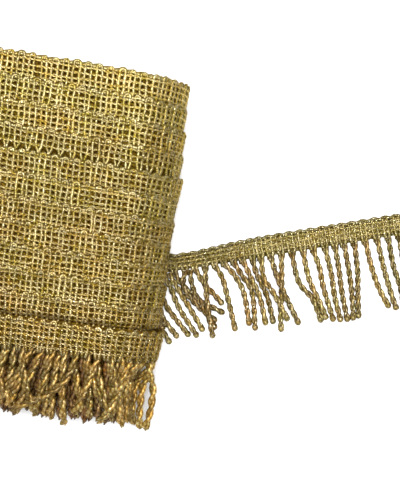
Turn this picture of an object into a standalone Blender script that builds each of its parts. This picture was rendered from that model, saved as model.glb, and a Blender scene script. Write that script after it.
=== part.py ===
"""Cord fringe trim: a flat wound bundle of it lying on its back, and the loose end that runs out beside it.

The bundle is wound about the Y axis. Each turn is laid a row further towards -Y, over the fringe of the
turn before, so the rows are shingled and only the last ones show their fringe, past the -Y end.
The origin is the middle of the flat face that the bundle rests on, with +Z up.
"""

import math

import bpy
import numpy as np

MM = 0.001
CLEARANCE = 0.3 * MM

# The trim: a header of joined loops, and one looped cord under each of its scallops.
HEADER_WIDTH = 11.0 * MM
HEADER_THICKNESS = 2.0 * MM
SCALLOP_PITCH = 5.15 * MM
SCALLOP_DEPTH = 0.9 * MM
CORD_LENGTH = 37.5 * MM
CORD_WIDTH = 2.2 * MM
CORD_THICKNESS = 2.0 * MM
CORD_TIP = 0.6
STRIP_WIDTH = 1.7 * MM

# The bundle: a flat oval with half-round sides and a slight crown on top.
BODY_WIDTH = 160.8 * MM
BODY_HEIGHT = 42.0 * MM
CROWN = 1.6 * MM
SIDE_STEPS = 12
FLAT_STEPS = 10
# How far round the sides, by the normal's height, the flat underside gives way to the rows' lips.
FLAT_UNTIL, LIPS_FROM = -0.9, -0.3

# One line for each wound row, from the +Y end down, in mm: its height, the bare seam below it, how far its
# upper edge stands proud, and how far it reaches out at either side.
ROW_COLUMNS = ("height", "seam", "lip", "right", "left")
ROWS = (
    (10.6, 0.3, 1.4, -1.2, 0.3),
    (10.5, 0.2, 1.3, -0.8, -0.4),
    (10.6, 0.3, 1.5, -0.2, 0.6),
    (10.3, 0.9, 1.4, 0.2, 0.0),
    (10.4, 0.2, 1.7, 1.0, -0.5),
    (10.7, 0.2, 1.4, 0.1, 0.4),
    (10.5, 0.3, 1.5, -0.2, 0.8),
    (10.6, 0.2, 1.3, -0.5, -0.2),
    (10.5, 0.3, 1.5, -0.2, 0.3),
    (10.6, 0.2, 1.4, 0.1, 0.7),
    (10.2, 1.0, 1.5, 0.4, -0.3),
    (10.8, 0.0, 1.7, 1.0, 0.4),
)
ROW_FOOT = 0.2 * MM
SEAM_DEPTH = 1.2 * MM
SEAM_FOLD = 0.1 * MM
OPEN_SEAM = 0.5 * MM
# The edges of the turns at the +Y end, in mm.
BACK_COLUMNS = ("inset", "depth")
BACK_TURNS = ((3.6, 0.0), (4.2, 1.5), (8.6, 1.5), (9.2, 3.0), (13.6, 3.0), (14.2, 4.2))

# The fringe past the -Y end, in mm: two layers of cords round a core of cords packed together.
OUTER_CORDS, OUTER_REACH = 72, 37.5 * MM
INNER_CORDS, INNER_REACH = 54, 28.5 * MM
CORE_COLUMNS = ("inset", "run")
CORE_TURNS = ((4.9, 0.0), (4.9, 8.0), (5.0, 15.0), (5.2, 22.0), (6.6, 29.0), (9.6, 32.0), (13.5, 34.0))
LAYER_STEP = 2.3 * MM
LAYER_STEPS = 4
DROOP = 0.30
RIGHT_SPREAD, LEFT_SPREAD = 3.0 * MM, 1.5 * MM
SWAY, SWAY_LENGTH, SWAY_SLANT = 1.2 * MM, 62.0 * MM, 0.6
REACH_VARIATION, REACH_RATES = 0.035, (2.3, 0.7)

# The loose end. Its cords' lower ends lie on the table, and its header leans up where it leaves the bundle.
TAIL_ORIGIN = np.array((80.6, -27.2)) * MM
TAIL_ANGLE = math.radians(16.7)
TAIL_END = 126.0 * MM
LEAN_COLUMNS = ("station", "degrees")
TAIL_LEAN = ((-9.0, 0.0), (-3.0, 9.0), (5.0, 34.0), (16.0, 35.0), (28.0, 24.0), (44.0, 9.0), (60.0, 0.0))

# One line for each cord of the loose end, from its free end inwards, in mm. root is the place along the
# header, near, far and tip are how far the cord has wandered along it, drop is how far down it reaches, and
# the rises lift it over the cords that it crosses.
CORD_COLUMNS = ("root", "near", "far", "tip", "drop", "near_rise", "far_rise", "tip_rise")
CORDS = (
    (122.8, 0.2, 1.2, 2.5, 37.0, 0.0, 0.0, 0.0),
    (117.5, 0.4, 1.6, 2.4, 37.0, 0.0, 0.0, 0.0),
    (112.2, 0.3, 2.0, 2.2, 37.3, 0.0, 0.0, 0.0),
    (106.6, 0.9, 2.2, 4.1, 35.3, 0.0, 0.0, 0.0),
    (100.7, 0.9, 2.8, 6.5, 33.8, 0.0, 0.0, 0.0),
    (95.2, -0.7, -2.3, -3.5, 36.4, 0.0, 0.0, 0.0),
    (90.0, 0.1, -0.5, -1.8, 37.0, 0.0, 0.0, 0.0),
    (85.3, 0.1, -0.2, 0.0, 37.5, 0.0, 0.0, 0.0),
    (80.3, 1.0, 1.0, 1.9, 37.3, 0.0, 0.0, 0.0),
    (74.2, 1.3, 2.6, 4.2, 36.5, 0.0, 0.0, 0.0),
    (69.2, 0.7, 3.2, 6.1, 34.5, 0.0, 0.0, 0.0),
    (63.4, 1.1, 5.4, 8.6, 35.5, 0.0, 0.0, 0.0),
    (58.2, -1.9, -4.4, -6.1, 36.8, 0.0, 0.0, 0.0),
    (52.9, 1.8, 5.2, 8.5, 34.8, 3.3, 2.8, 0.4),
    (48.1, 0.3, 4.9, 8.1, 32.0, 0.6, 3.2, 2.0),
    (43.6, 2.0, 4.6, 5.3, 32.5, 0.0, 0.0, 0.0),
    (38.9, 2.9, 4.9, 6.0, 32.5, 0.0, 0.0, 0.0),
    (34.2, 3.4, 5.4, 4.7, 34.5, 0.0, 0.0, 0.0),
    (29.5, 4.1, 6.3, 6.2, 31.5, 0.0, 0.0, 0.0),
    (24.6, 3.1, 4.1, 5.0, 33.0, 0.0, 0.0, 0.0),
    (19.9, -1.7, -2.2, -1.9, 34.5, 3.9, 3.0, 0.2),
    (14.6, 2.0, 6.6, 10.4, 19.5, 0.0, 0.0, 0.0),
    (9.8, -2.4, 3.4, 10.6, 27.0, 3.9, 0.0, 0.0),
    (4.0, 4.4, 11.6, 21.0, 23.5, 0.0, 0.0, 0.0),
    (-1.5, 2.6, 6.6, 11.4, 33.0, 0.0, 0.0, 0.0),
    (-6.7, 2.4, 6.4, 12.2, 32.0, 0.0, 0.0, 0.0),
)
NEAR_SHARE, FAR_SHARE = 0.38, 0.72
CORD_STEPS = 7
CORD_TIP_HEIGHT = 0.8

# Colour, roughness and metallic value of each piece.
FINISHES = {
    "wound_bundle": ((0.46, 0.34, 0.13, 1.0), 0.55, 0.35),
    "end_fringe_outer": ((0.40, 0.26, 0.09, 1.0), 0.50, 0.30),
    "end_fringe_inner": ((0.33, 0.21, 0.07, 1.0), 0.55, 0.30),
    "tail_header": ((0.52, 0.40, 0.17, 1.0), 0.50, 0.40),
    "tail_fringe": ((0.40, 0.26, 0.09, 1.0), 0.50, 0.30),
}
OBJECT_NAME = "cord_fringe_trim"

HALF_WIDTH = BODY_WIDTH / 2
SIDE_RADIUS = BODY_HEIGHT / 2
FLAT_HALF = HALF_WIDTH - SIDE_RADIUS
BUNDLE_LENGTH = sum(height + seam for height, seam, *_ in ROWS) * MM
FRONT_END = -BUNDLE_LENGTH / 2
BACK_END = BUNDLE_LENGTH / 2


class Shell:
    """The corners and faces of one closed form, gathered section by section.

    A section's corners run anticlockwise, seen from the end that the form grows towards.
    """

    def __init__(self):
        self.points = []
        self.faces = []

    def add(self, section):
        """Add a section's corners and give their numbers."""
        first = len(self.points)
        self.points.extend(tuple(point) for point in section)
        return tuple(range(first, len(self.points)))

    def side(self, here, there, corner):
        """Add the face between two sections that starts at a corner."""
        following = (corner + 1) % len(here)
        self.faces.append((here[corner], here[following], there[following], there[corner]))

    def grow(self, root, sections):
        """Carry the form on from a root, through further sections, to a flat end."""
        here = root
        for section in sections:
            there = self.add(section)
            for corner in range(len(here)):
                self.side(here, there, corner)
            here = there
        self.faces.append(here)

    def loft(self, sections):
        """Join sections into a form with flat ends."""
        root = self.add(sections[0])
        self.faces.append(root[::-1])
        self.grow(root, sections[1:])

    def strip(self, sections, closed):
        """Join a strip's sections of four corners, and give the roots of the cords left open on its front.

        The front is the side from the last corner to the first. A closed strip starts with a cord, an open
        one with a gap, and cords and gaps take turns.
        """
        rows = [self.add(section) for section in sections]
        if closed:
            rows.append(rows[0])
        else:
            self.faces += [rows[0][::-1], rows[-1]]
        roots = []
        for number, (here, there) in enumerate(zip(rows, rows[1:])):
            for corner in range(3):
                self.side(here, there, corner)
            if closed == (number % 2 == 0):
                roots.append((here[3], here[0], there[0], there[3]))
            else:
                self.side(here, there, 3)
        return roots

    def finish(self, name):
        """Make the form a mesh object with its own finish, in the object's collection."""
        mesh = bpy.data.meshes.new(name)
        mesh.from_pydata(self.points, [], self.faces)
        mesh.update()
        colour, roughness, metallic = FINISHES[name]
        material = bpy.data.materials.new(name)
        material.use_nodes = True
        shader = material.node_tree.nodes["Principled BSDF"]
        shader.inputs["Base Color"].default_value = colour
        shader.inputs["Roughness"].default_value = roughness
        shader.inputs["Metallic"].default_value = metallic
        mesh.materials.append(material)
        bpy.data.collections[OBJECT_NAME].objects.link(bpy.data.objects.new(name, mesh))


def read_table(columns, rows):
    """Give each row of a table in millimetres as a dictionary in metres."""
    return [dict(zip(columns, (value * MM for value in row))) for row in rows]


def ease(value, low, high):
    """Rise smoothly from 0 to 1 between low and high."""
    t = np.clip((value - low) / (high - low), 0.0, 1.0)
    return t * t * (3.0 - 2.0 * t)


def oval_length(inset):
    """Give the length round the oval that lies inset within the body's own."""
    return 4.0 * FLAT_HALF + 2.0 * math.pi * (SIDE_RADIUS - inset)


def oval_at(distance, inset):
    """Give the points (x, z) and outward normals at distances round the oval, from its flat's right end.

    The way runs up the right side, back along the top, down the left side and along the underside.
    """
    radius = SIDE_RADIUS - inset
    arc, flat = math.pi * radius, 2.0 * FLAT_HALF
    d = np.mod(np.asarray(distance, float), oval_length(inset))
    stretches = [d < arc, d < arc + flat, d < 2 * arc + flat]
    angle = np.select(
        stretches,
        [d / radius - math.pi / 2, np.full_like(d, math.pi / 2), (d - flat) / radius - math.pi / 2],
        -math.pi / 2,
    )
    centre = np.select(
        stretches,
        [np.full_like(d, FLAT_HALF), FLAT_HALF + arc - d, np.full_like(d, -FLAT_HALF)],
        d - 2 * arc - flat - FLAT_HALF,
    )
    normal = np.stack((np.cos(angle), np.sin(angle)), axis=-1)
    x = centre + radius * normal[..., 0]
    crown = CROWN * np.clip(normal[..., 1], 0.0, 1.0) * (1.0 - (x / HALF_WIDTH) ** 2)
    z = SIDE_RADIUS + radius * normal[..., 1] + crown
    return np.stack((x, z), axis=-1), normal


def oval_distances(inset):
    """Give the places round an oval where a section has its corners, as many for every inset."""
    arc, flat = math.pi * (SIDE_RADIUS - inset), 2.0 * FLAT_HALF
    sides = np.arange(SIDE_STEPS) / SIDE_STEPS * arc
    flats = np.arange(FLAT_STEPS) / FLAT_STEPS * flat
    return np.concatenate((sides, arc + flats, arc + flat + sides, 2 * arc + flat + flats))


def at_depth(points, y):
    """Give points (x, z) their place along the winding axis."""
    return np.stack((points[..., 0], np.full(len(points), y), points[..., 1]), axis=-1)


def oval_ring(y, inset, lip=0.0, right=0.0, left=0.0):
    """Give one section of the bundle, swollen by its lip and its reach except on the flat underside."""
    points, normal = oval_at(oval_distances(inset), inset)
    above = ease(normal[:, 1], FLAT_UNTIL, LIPS_FROM)
    reach = right * ease(points[:, 0], 0.0, HALF_WIDTH) + left * ease(-points[:, 0], 0.0, HALF_WIDTH)
    swelling = (lip + reach * np.abs(normal[:, 0])) * above
    return at_depth(points + normal * swelling[:, None], y)


def drape(points, run):
    """Move points of the fringe by how far along the cords they lie.

    The cords sink towards the table, spread at the sides and sway a little, all with the square of run.
    """
    bend = (run / CORD_LENGTH) ** 2
    x, y, z = np.moveaxis(points, -1, 0)
    sway = SWAY * np.sin(2 * math.pi * (x + SWAY_SLANT * z) / SWAY_LENGTH)
    spread = RIGHT_SPREAD * ease(x, 0.0, HALF_WIDTH) - LEFT_SPREAD * ease(-x, 0.0, HALF_WIDTH)
    return np.stack((x + (spread + sway) * bend, y, z * (1.0 - DROOP * bend)), axis=-1)


def wound_bundle():
    """Build the bundle: the turns' edges at the back, the shingled rows and the packed inner fringe."""
    rings = []
    for turn in reversed(read_table(BACK_COLUMNS, BACK_TURNS)):
        rings.append(oval_ring(BACK_END - turn["depth"], turn["inset"]))
    y = BACK_END
    for row in read_table(ROW_COLUMNS, ROWS):
        rings.append(oval_ring(y, 0.0, row["lip"], row["right"], row["left"]))
        y -= row["height"]
        rings.append(oval_ring(y, 0.0, ROW_FOOT, row["right"], row["left"]))
        if row["seam"] > OPEN_SEAM:
            rings.append(oval_ring(y - SEAM_FOLD, 0.0, -SEAM_DEPTH))
            rings.append(oval_ring(y - row["seam"], 0.0, -SEAM_DEPTH))
        y -= row["seam"]
    for turn in read_table(CORE_COLUMNS, CORE_TURNS):
        rings.append(drape(oval_ring(FRONT_END - turn["run"], turn["inset"]), turn["run"]))
    shell = Shell()
    shell.loft(rings)
    shell.finish("wound_bundle")


def end_cord(root, reach):
    """Give the sections of one cord past the front end, from the corners of its root."""
    sections = []
    for run in np.linspace(0.0, reach, LAYER_STEPS + 1)[1:]:
        size = CORD_TIP if run == reach else 1.0
        middle = root.mean(axis=0)
        section = middle + (root - middle) * size
        section[:, 2] += root[:, 2].min() - section[:, 2].min()
        section = drape(section, run)
        section[:, 1] -= run
        sections.append(section)
    return sections


def end_fringe(name, inset, count, reach):
    """Build one layer of cords round the front end, fused to a narrow strip that follows the oval."""
    pitch = oval_length(inset) / count
    starts = np.arange(count) * pitch
    places = np.sort(np.concatenate((starts, starts + CORD_WIDTH)))
    back = FRONT_END - CLEARANCE
    front = back - STRIP_WIDTH
    outer, normal = oval_at(places, inset)
    inner = outer - CORD_THICKNESS * normal
    corners = (at_depth(outer, front), at_depth(outer, back), at_depth(inner, back), at_depth(inner, front))
    shell = Shell()
    roots = shell.strip(np.stack(corners, axis=1), closed=True)
    for number, root in enumerate(roots):
        wave = math.sin(REACH_RATES[0] * number) * math.cos(REACH_RATES[1] * number)
        corners = np.array([shell.points[corner] for corner in root])
        shell.grow(root, end_cord(corners, (reach - STRIP_WIDTH) * (1.0 + REACH_VARIATION * wave)))
    shell.finish(name)


def on_table(station, across, height):
    """Give the places of points of the loose end, from where they lie along its header, across it and up."""
    along = np.array((math.cos(TAIL_ANGLE), math.sin(TAIL_ANGLE)))
    back = np.array((-math.sin(TAIL_ANGLE), math.cos(TAIL_ANGLE)))
    station, across, height = np.broadcast_arrays(station, across, height)
    flat = TAIL_ORIGIN + station[..., None] * along + across[..., None] * back
    return np.concatenate((flat, height[..., None]), axis=-1)


def tail_start():
    """Give the station where the header's upper edge meets the curve of the bundle's underside."""
    room = HEADER_THICKNESS + CLEARANCE
    inwards = SIDE_RADIUS - math.sqrt(SIDE_RADIUS**2 - (SIDE_RADIUS - room) ** 2)
    reach = HALF_WIDTH - inwards - TAIL_ORIGIN[0]
    return (reach + HEADER_WIDTH * math.sin(TAIL_ANGLE)) / math.cos(TAIL_ANGLE)


def tail_header():
    """Build the loose end's header: a flat band with a scalloped upper edge, leaning up beside the bundle."""
    start = tail_start()
    count = 2 * round((TAIL_END - start) / SCALLOP_PITCH)
    station = np.linspace(start, TAIL_END, count + 1)
    lean_at = dict(zip(LEAN_COLUMNS, zip(*TAIL_LEAN)))
    lean = np.radians(np.interp(station / MM, lean_at["station"], lean_at["degrees"]))
    lower = STRIP_WIDTH + CLEARANCE
    width = HEADER_WIDTH - lower - SCALLOP_DEPTH * (np.arange(count + 1) % 2 == 0)
    across, rise = lower + width * np.cos(lean), width * np.sin(lean)
    corners = (
        on_table(station, lower, 0.0),
        on_table(station, across, rise),
        on_table(station, across, rise + HEADER_THICKNESS),
        on_table(station, lower, HEADER_THICKNESS),
    )
    shell = Shell()
    shell.loft(np.stack(corners, axis=1))
    shell.finish("tail_header")


def smooth_route(knots, steps):
    """Read points from the smooth curve through the knots, by Catmull and Rom's rule."""
    padded = np.concatenate(([2 * knots[0] - knots[1]], knots, [2 * knots[-1] - knots[-2]]))
    t = np.linspace(0.0, len(knots) - 1.0, steps + 1)
    k = np.minimum(t.astype(int), len(knots) - 2)
    f = (t - k)[:, None]
    p0, p1, p2, p3 = (padded[k + offset] for offset in range(4))
    square, cube = 2 * p0 - 5 * p1 + 4 * p2 - p3, 3 * p1 - p0 - 3 * p2 + p3
    return 0.5 * (2 * p1 + (p2 - p0) * f + square * f**2 + cube * f**3)


def tail_cord(cord):
    """Give the sections of one cord of the loose end, which lie level along its route."""
    knots = np.array(
        (
            (cord["root"], 0.0, 0.0),
            (cord["root"] + cord["near"], -NEAR_SHARE * cord["drop"], cord["near_rise"]),
            (cord["root"] + cord["far"], -FAR_SHARE * cord["drop"], cord["far_rise"]),
            (cord["root"] + cord["tip"], -cord["drop"], cord["tip_rise"]),
        )
    )
    route = smooth_route(knots, CORD_STEPS)
    heading = np.gradient(route[:, :2], axis=0)
    heading /= np.linalg.norm(heading, axis=1)[:, None]
    size = np.ones(CORD_STEPS + 1)
    size[-1] = CORD_TIP
    half = (CORD_WIDTH / 2 * size)[:, None] * np.stack((-heading[:, 1], heading[:, 0]), axis=-1)
    low = np.maximum(route[:, 2], 0.0)
    high = low + CORD_THICKNESS * np.where(size < 1.0, CORD_TIP_HEIGHT, 1.0)
    start, end = route[:, :2] - half, route[:, :2] + half
    places = ((start, high), (start, low), (end, low), (end, high))
    corners = [on_table(*place.T, height) for place, height in places]
    return np.stack(corners, axis=1)[1:]


def tail_fringe():
    """Build the loose end's cords, fused to a narrow strip along the header's lower edge."""
    cords = sorted(read_table(CORD_COLUMNS, CORDS), key=lambda cord: cord["root"])
    edges = [cord["root"] + side * CORD_WIDTH / 2 for cord in cords for side in (-1, 1)]
    places = np.array([tail_start(), *edges, TAIL_END])
    corners = (
        on_table(places, 0.0, 0.0),
        on_table(places, STRIP_WIDTH, 0.0),
        on_table(places, STRIP_WIDTH, CORD_THICKNESS),
        on_table(places, 0.0, CORD_THICKNESS),
    )
    shell = Shell()
    for root, cord in zip(shell.strip(np.stack(corners, axis=1), closed=False), cords):
        shell.grow(root, tail_cord(cord))
    shell.finish("tail_fringe")


def main():
    """Clear the scene and build the five pieces."""
    for item in list(bpy.data.objects):
        bpy.data.objects.remove(item, do_unlink=True)
    bpy.context.scene.collection.children.link(bpy.data.collections.new(OBJECT_NAME))
    wound_bundle()
    end_fringe("end_fringe_outer", 0.0, OUTER_CORDS, OUTER_REACH)
    end_fringe("end_fringe_inner", LAYER_STEP, INNER_CORDS, INNER_REACH)
    tail_header()
    tail_fringe()


main()
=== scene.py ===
"""Cord fringe trim, dressed: the wound bundle's knotted header rows, its twisted fringe and the loose end.

Lengths are in metres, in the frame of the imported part: the bundle is wound about the Y axis and lies on the
floor, with its fringe past the -Y end, and the loose end runs out beside it towards +X.
"""

import logging
import math
from dataclasses import dataclass, field, replace
from enum import Enum

import bpy
import numpy as np
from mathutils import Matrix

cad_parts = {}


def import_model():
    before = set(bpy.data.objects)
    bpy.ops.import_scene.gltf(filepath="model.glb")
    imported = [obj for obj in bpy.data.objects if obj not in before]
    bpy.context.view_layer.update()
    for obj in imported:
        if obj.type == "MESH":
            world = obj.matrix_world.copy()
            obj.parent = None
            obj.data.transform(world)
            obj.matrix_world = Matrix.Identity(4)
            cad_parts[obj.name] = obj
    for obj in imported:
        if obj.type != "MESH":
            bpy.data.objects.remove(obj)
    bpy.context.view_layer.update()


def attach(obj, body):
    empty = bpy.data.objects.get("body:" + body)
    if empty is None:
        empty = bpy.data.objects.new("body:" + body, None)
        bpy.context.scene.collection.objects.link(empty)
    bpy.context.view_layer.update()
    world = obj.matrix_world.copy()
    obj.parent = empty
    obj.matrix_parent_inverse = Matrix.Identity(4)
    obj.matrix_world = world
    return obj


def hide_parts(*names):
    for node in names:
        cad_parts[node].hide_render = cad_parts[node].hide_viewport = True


Array = np.ndarray
Socket = bpy.types.NodeSocket
Colour = tuple[float, float, float]
# From where to where a change runs.
Reach = tuple[float, float]
# From where to where, below the tops, a scallop's legs close in, and to what gap.
Vee = tuple[float, float, float]
# Places along the header, how far below its top, and lifts over its plane.
Places = tuple[Array, Array, Array]
# Points, and directions square to what they lie on.
Laid = tuple[Array, Array]
MM = 0.001
STRAND_UV = "strand"
# Each point's tone: the strands' own, times painted light and shade where the builders add them.
TINT = "tint"
UV_UNIT = 0.01
LOG = logging.getLogger("fringe_trim")


class Slot(Enum):
    """The record's material slots."""

    WOUND = "wound_yarn"
    HEADER = "header_yarn"
    CORD = "cord_yarn"


class Lay(Enum):
    """Which way a cord's plies turn as they run away from its root."""

    LEFT = -1.0
    RIGHT = 1.0


def ease(value: Array, low: float, high: float) -> Array:
    """Rise smoothly from 0 to 1: with t the share of the way, t squared times (3 minus 2t).

    Args:
        value: Where to read the curve.
        low: Where it leaves 0.
        high: Where it reaches 1.

    Returns:
        The curve's heights.
    """
    t = np.clip((np.asarray(value, float) - low) / (high - low), 0.0, 1.0)
    return t * t * (3.0 - 2.0 * t)


def unit(vectors: Array) -> Array:
    """Divide each vector by its own length.

    Args:
        vectors: Vectors along the last axis.

    Returns:
        The vectors at length 1.
    """
    return vectors / np.maximum(np.linalg.norm(vectors, axis=-1, keepdims=True), 1e-12)


def waves(place: Array, cycles: tuple[float, ...], phases: Array) -> Array:
    """Add sines of place, each at its own number of cycles and phase, and divide by how many there are.

    Args:
        place: Where to read, as a share of the whole way.
        cycles: How many times each sine repeats over the whole way.
        phases: The sines' phases in radians, along the last axis.

    Returns:
        Heights from -1 to 1, shaped as place.
    """
    turns = 2 * math.pi * np.asarray(place)[..., None] * np.array(cycles)
    return np.sin(turns + phases).mean(axis=-1)


def travelled(lines: Array) -> Array:
    """Give how far along its line each place lies, by adding up the steps to it.

    Args:
        lines: Lines shaped (lines, places, 3).

    Returns:
        The distances, shaped (lines, places).
    """
    step = np.linalg.norm(np.diff(lines, axis=1), axis=-1)
    return np.concatenate((np.zeros((len(lines), 1)), np.cumsum(step, axis=1)), axis=1)


def square_to(lines: Array, ups: Array) -> Laid:
    """Give two directions square to each line: up crossed with its heading, and its heading with that.

    Args:
        lines: Lines shaped (lines, places, 3).
        ups: A direction away from the surface that each place lies on, of the same shape.

    Returns:
        The directions sideways and up.
    """
    heading = unit(np.gradient(lines, axis=1))
    side = unit(np.cross(np.broadcast_to(ups, lines.shape), heading))
    return side, np.cross(heading, side)


def smooth_routes(knots: Array, steps: int) -> Array:
    """Read points from smooth cubic curves through rows of knots.

    A curve's slope at a knot is half the way from the knot before it to the knot after it.

    Args:
        knots: Knots shaped (routes, knots, numbers).
        steps: How many steps each route is read in.

    Returns:
        Points shaped (routes, steps + 1, numbers).
    """
    first = 2 * knots[:, :1] - knots[:, 1:2]
    last = 2 * knots[:, -1:] - knots[:, -2:-1]
    padded = np.concatenate((first, knots, last), axis=1)
    t = np.linspace(0.0, knots.shape[1] - 1.0, steps + 1)
    k = np.minimum(t.astype(int), knots.shape[1] - 2)
    f = (t - k)[None, :, None]
    p0, p1, p2, p3 = (padded[:, k + offset] for offset in range(4))
    square, cube = 2 * p0 - 5 * p1 + 4 * p2 - p3, 3 * p1 - p0 - 3 * p2 + p3
    return 0.5 * (2 * p1 + (p2 - p0) * f + square * f**2 + cube * f**3)


# The finishes

GROUP_INPUTS = (("Ridges", 2.0), ("Slant", 4.0), ("Glint Scale", 1500.0), ("Glint Floor", 0.6))
CREST_POWER = 7.0
GLINT_CEILING = 0.74
FLECK_REACH = (0.46, 0.34)
FINE_DETAIL, COARSE_DETAIL = 2.0, 3.0
COARSE_NOISES = (("Patch", 330.0, (0.34, 0.66)), ("Warm", 75.0, (0.40, 0.64)))


@dataclass(frozen=True)
class Wiring:
    """A node tree that is being wired."""

    tree: bpy.types.NodeTree

    def feed(self, node: bpy.types.Node, inputs: dict[str | int, object]) -> None:
        """Link a node's inputs where a socket is given, and set them where a value is.

        Args:
            node: The node.
            inputs: What goes in, by the inputs' names or numbers.
        """
        for name, value in inputs.items():
            if isinstance(value, Socket):
                self.tree.links.new(value, node.inputs[name])
            else:
                node.inputs[name].default_value = value

    def add(
        self, kind: str, inputs: dict[str | int, object], output: str | int = 0, **settings: object
    ) -> Socket:
        """Add a node.

        Args:
            kind: Its type.
            inputs: What goes in, by the inputs' names or numbers.
            output: Which output to give.
            settings: Its own settings.

        Returns:
            The output.
        """
        node = self.tree.nodes.new(kind)
        for name, value in settings.items():
            setattr(node, name, value)
        self.feed(node, inputs)
        return node.outputs[output]

    def math(self, operation: str, *values: object) -> Socket:
        """Add a Math node.

        Args:
            operation: What it does.
            values: Its inputs, each a socket or a number.

        Returns:
            Its result.
        """
        return self.add("ShaderNodeMath", dict(enumerate(values)), operation=operation)

    def noise(self, place: object, scale: object, detail: float) -> Socket:
        """Add a Noise Texture node.

        Args:
            place: Where it is read.
            scale: Its scale, a socket or a number.
            detail: Its detail.

        Returns:
            Its value.
        """
        return self.add("ShaderNodeTexNoise", {"Vector": place, "Scale": scale, "Detail": detail}, "Fac")

    def spread(self, value: object, start: object, end: object, to: Reach = (0.0, 1.0)) -> Socket:
        """Add a Map Range node, which is cut off at its ends.

        Args:
            value: What it spreads.
            start: The value that becomes the first of to, a socket or a number.
            end: The value that becomes the second.
            to: What they become.

        Returns:
            Its result.
        """
        inputs = {"Value": value, "From Min": start, "From Max": end, "To Min": to[0], "To Max": to[1]}
        return self.add("ShaderNodeMapRange", inputs, "Result")

    def mix(self, share: object, low: object, high: object, blend: str = "MIX") -> Socket:
        """Add a Mix node for colours.

        Args:
            share: The mask, a socket or a number.
            low: The colour where it is 0, a socket or a value.
            high: The colour where it is 1, a socket or a value.
            blend: How high is laid on low.

        Returns:
            The mixed colour.
        """
        first, second = ((*colour, 1.0) if isinstance(colour, tuple) else colour for colour in (low, high))
        inputs = {"Factor": share, 6: first, 7: second}
        return self.add("ShaderNodeMix", inputs, 2, data_type="RGBA", blend_type=blend)


def yarn_group() -> bpy.types.NodeTree:
    """Build the node group that reads a yarn's fibres, glints and patches, once for all finishes.

    Ridge is half of 1 plus the sine of 2 pi times (Ridges times the way round plus Slant times the way
    along); the finishes paint shade into the fibres' grooves where it is low. The crest is the sine of 2 pi
    times the way round, raised to a power where it is above 0, times Patch, so a painted highlight: a broken
    line along the strand's top. The glint and the fleck are the high and the low reaches of one fine noise,
    the glint a painted highlight and the fleck darker specks, and Patch and Warm are a coarse and a broad
    noise, spread to the full range.

    Returns:
        The group.
    """
    found = bpy.data.node_groups.get("yarn_fibres")
    if found:
        return found
    group = bpy.data.node_groups.new("yarn_fibres", "ShaderNodeTree")
    for name, value in GROUP_INPUTS:
        socket = group.interface.new_socket(name, in_out="INPUT", socket_type="NodeSocketFloat")
        socket.default_value = value
    for name in ("Ridge", "Painted Crest", "Painted Glint", "Fleck", "Patch", "Warm"):
        group.interface.new_socket(name, in_out="OUTPUT", socket_type="NodeSocketFloat")
    wiring = Wiring(group)
    inside = group.nodes.new("NodeGroupInput").outputs
    strand = wiring.add("ShaderNodeUVMap", {}, "UV", uv_map=STRAND_UV)
    parts = wiring.add("ShaderNodeSeparateXYZ", {"Vector": strand}).node.outputs
    around = wiring.math("MULTIPLY", parts["X"], inside["Ridges"])
    phase = wiring.math("MULTIPLY_ADD", parts["Y"], inside["Slant"], around)
    wave = wiring.math("SINE", wiring.math("MULTIPLY", phase, 2 * math.pi))
    # A painted highlight: a broken pale line along the strand's top.
    top = wiring.math("SINE", wiring.math("MULTIPLY", parts["X"], 2 * math.pi))
    painted_crest = wiring.math("POWER", wiring.math("MAXIMUM", top, 0.0), CREST_POWER)
    place = wiring.add("ShaderNodeTexCoord", {}, "Object")
    fine = wiring.noise(place, inside["Glint Scale"], FINE_DETAIL)
    # Painted glints where the fine noise is high, darker specks where it is low.
    results = {
        "Ridge": wiring.math("MULTIPLY_ADD", wave, 0.5, 0.5),
        "Painted Glint": wiring.spread(fine, inside["Glint Floor"], GLINT_CEILING),
        "Fleck": wiring.spread(fine, *FLECK_REACH),
    }
    for name, scale, reach in COARSE_NOISES:
        results[name] = wiring.spread(wiring.noise(place, scale, COARSE_DETAIL), *reach)
    results["Painted Crest"] = wiring.math("MULTIPLY", painted_crest, results["Patch"])
    wiring.feed(group.nodes.new("NodeGroupOutput"), results)
    return group


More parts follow.
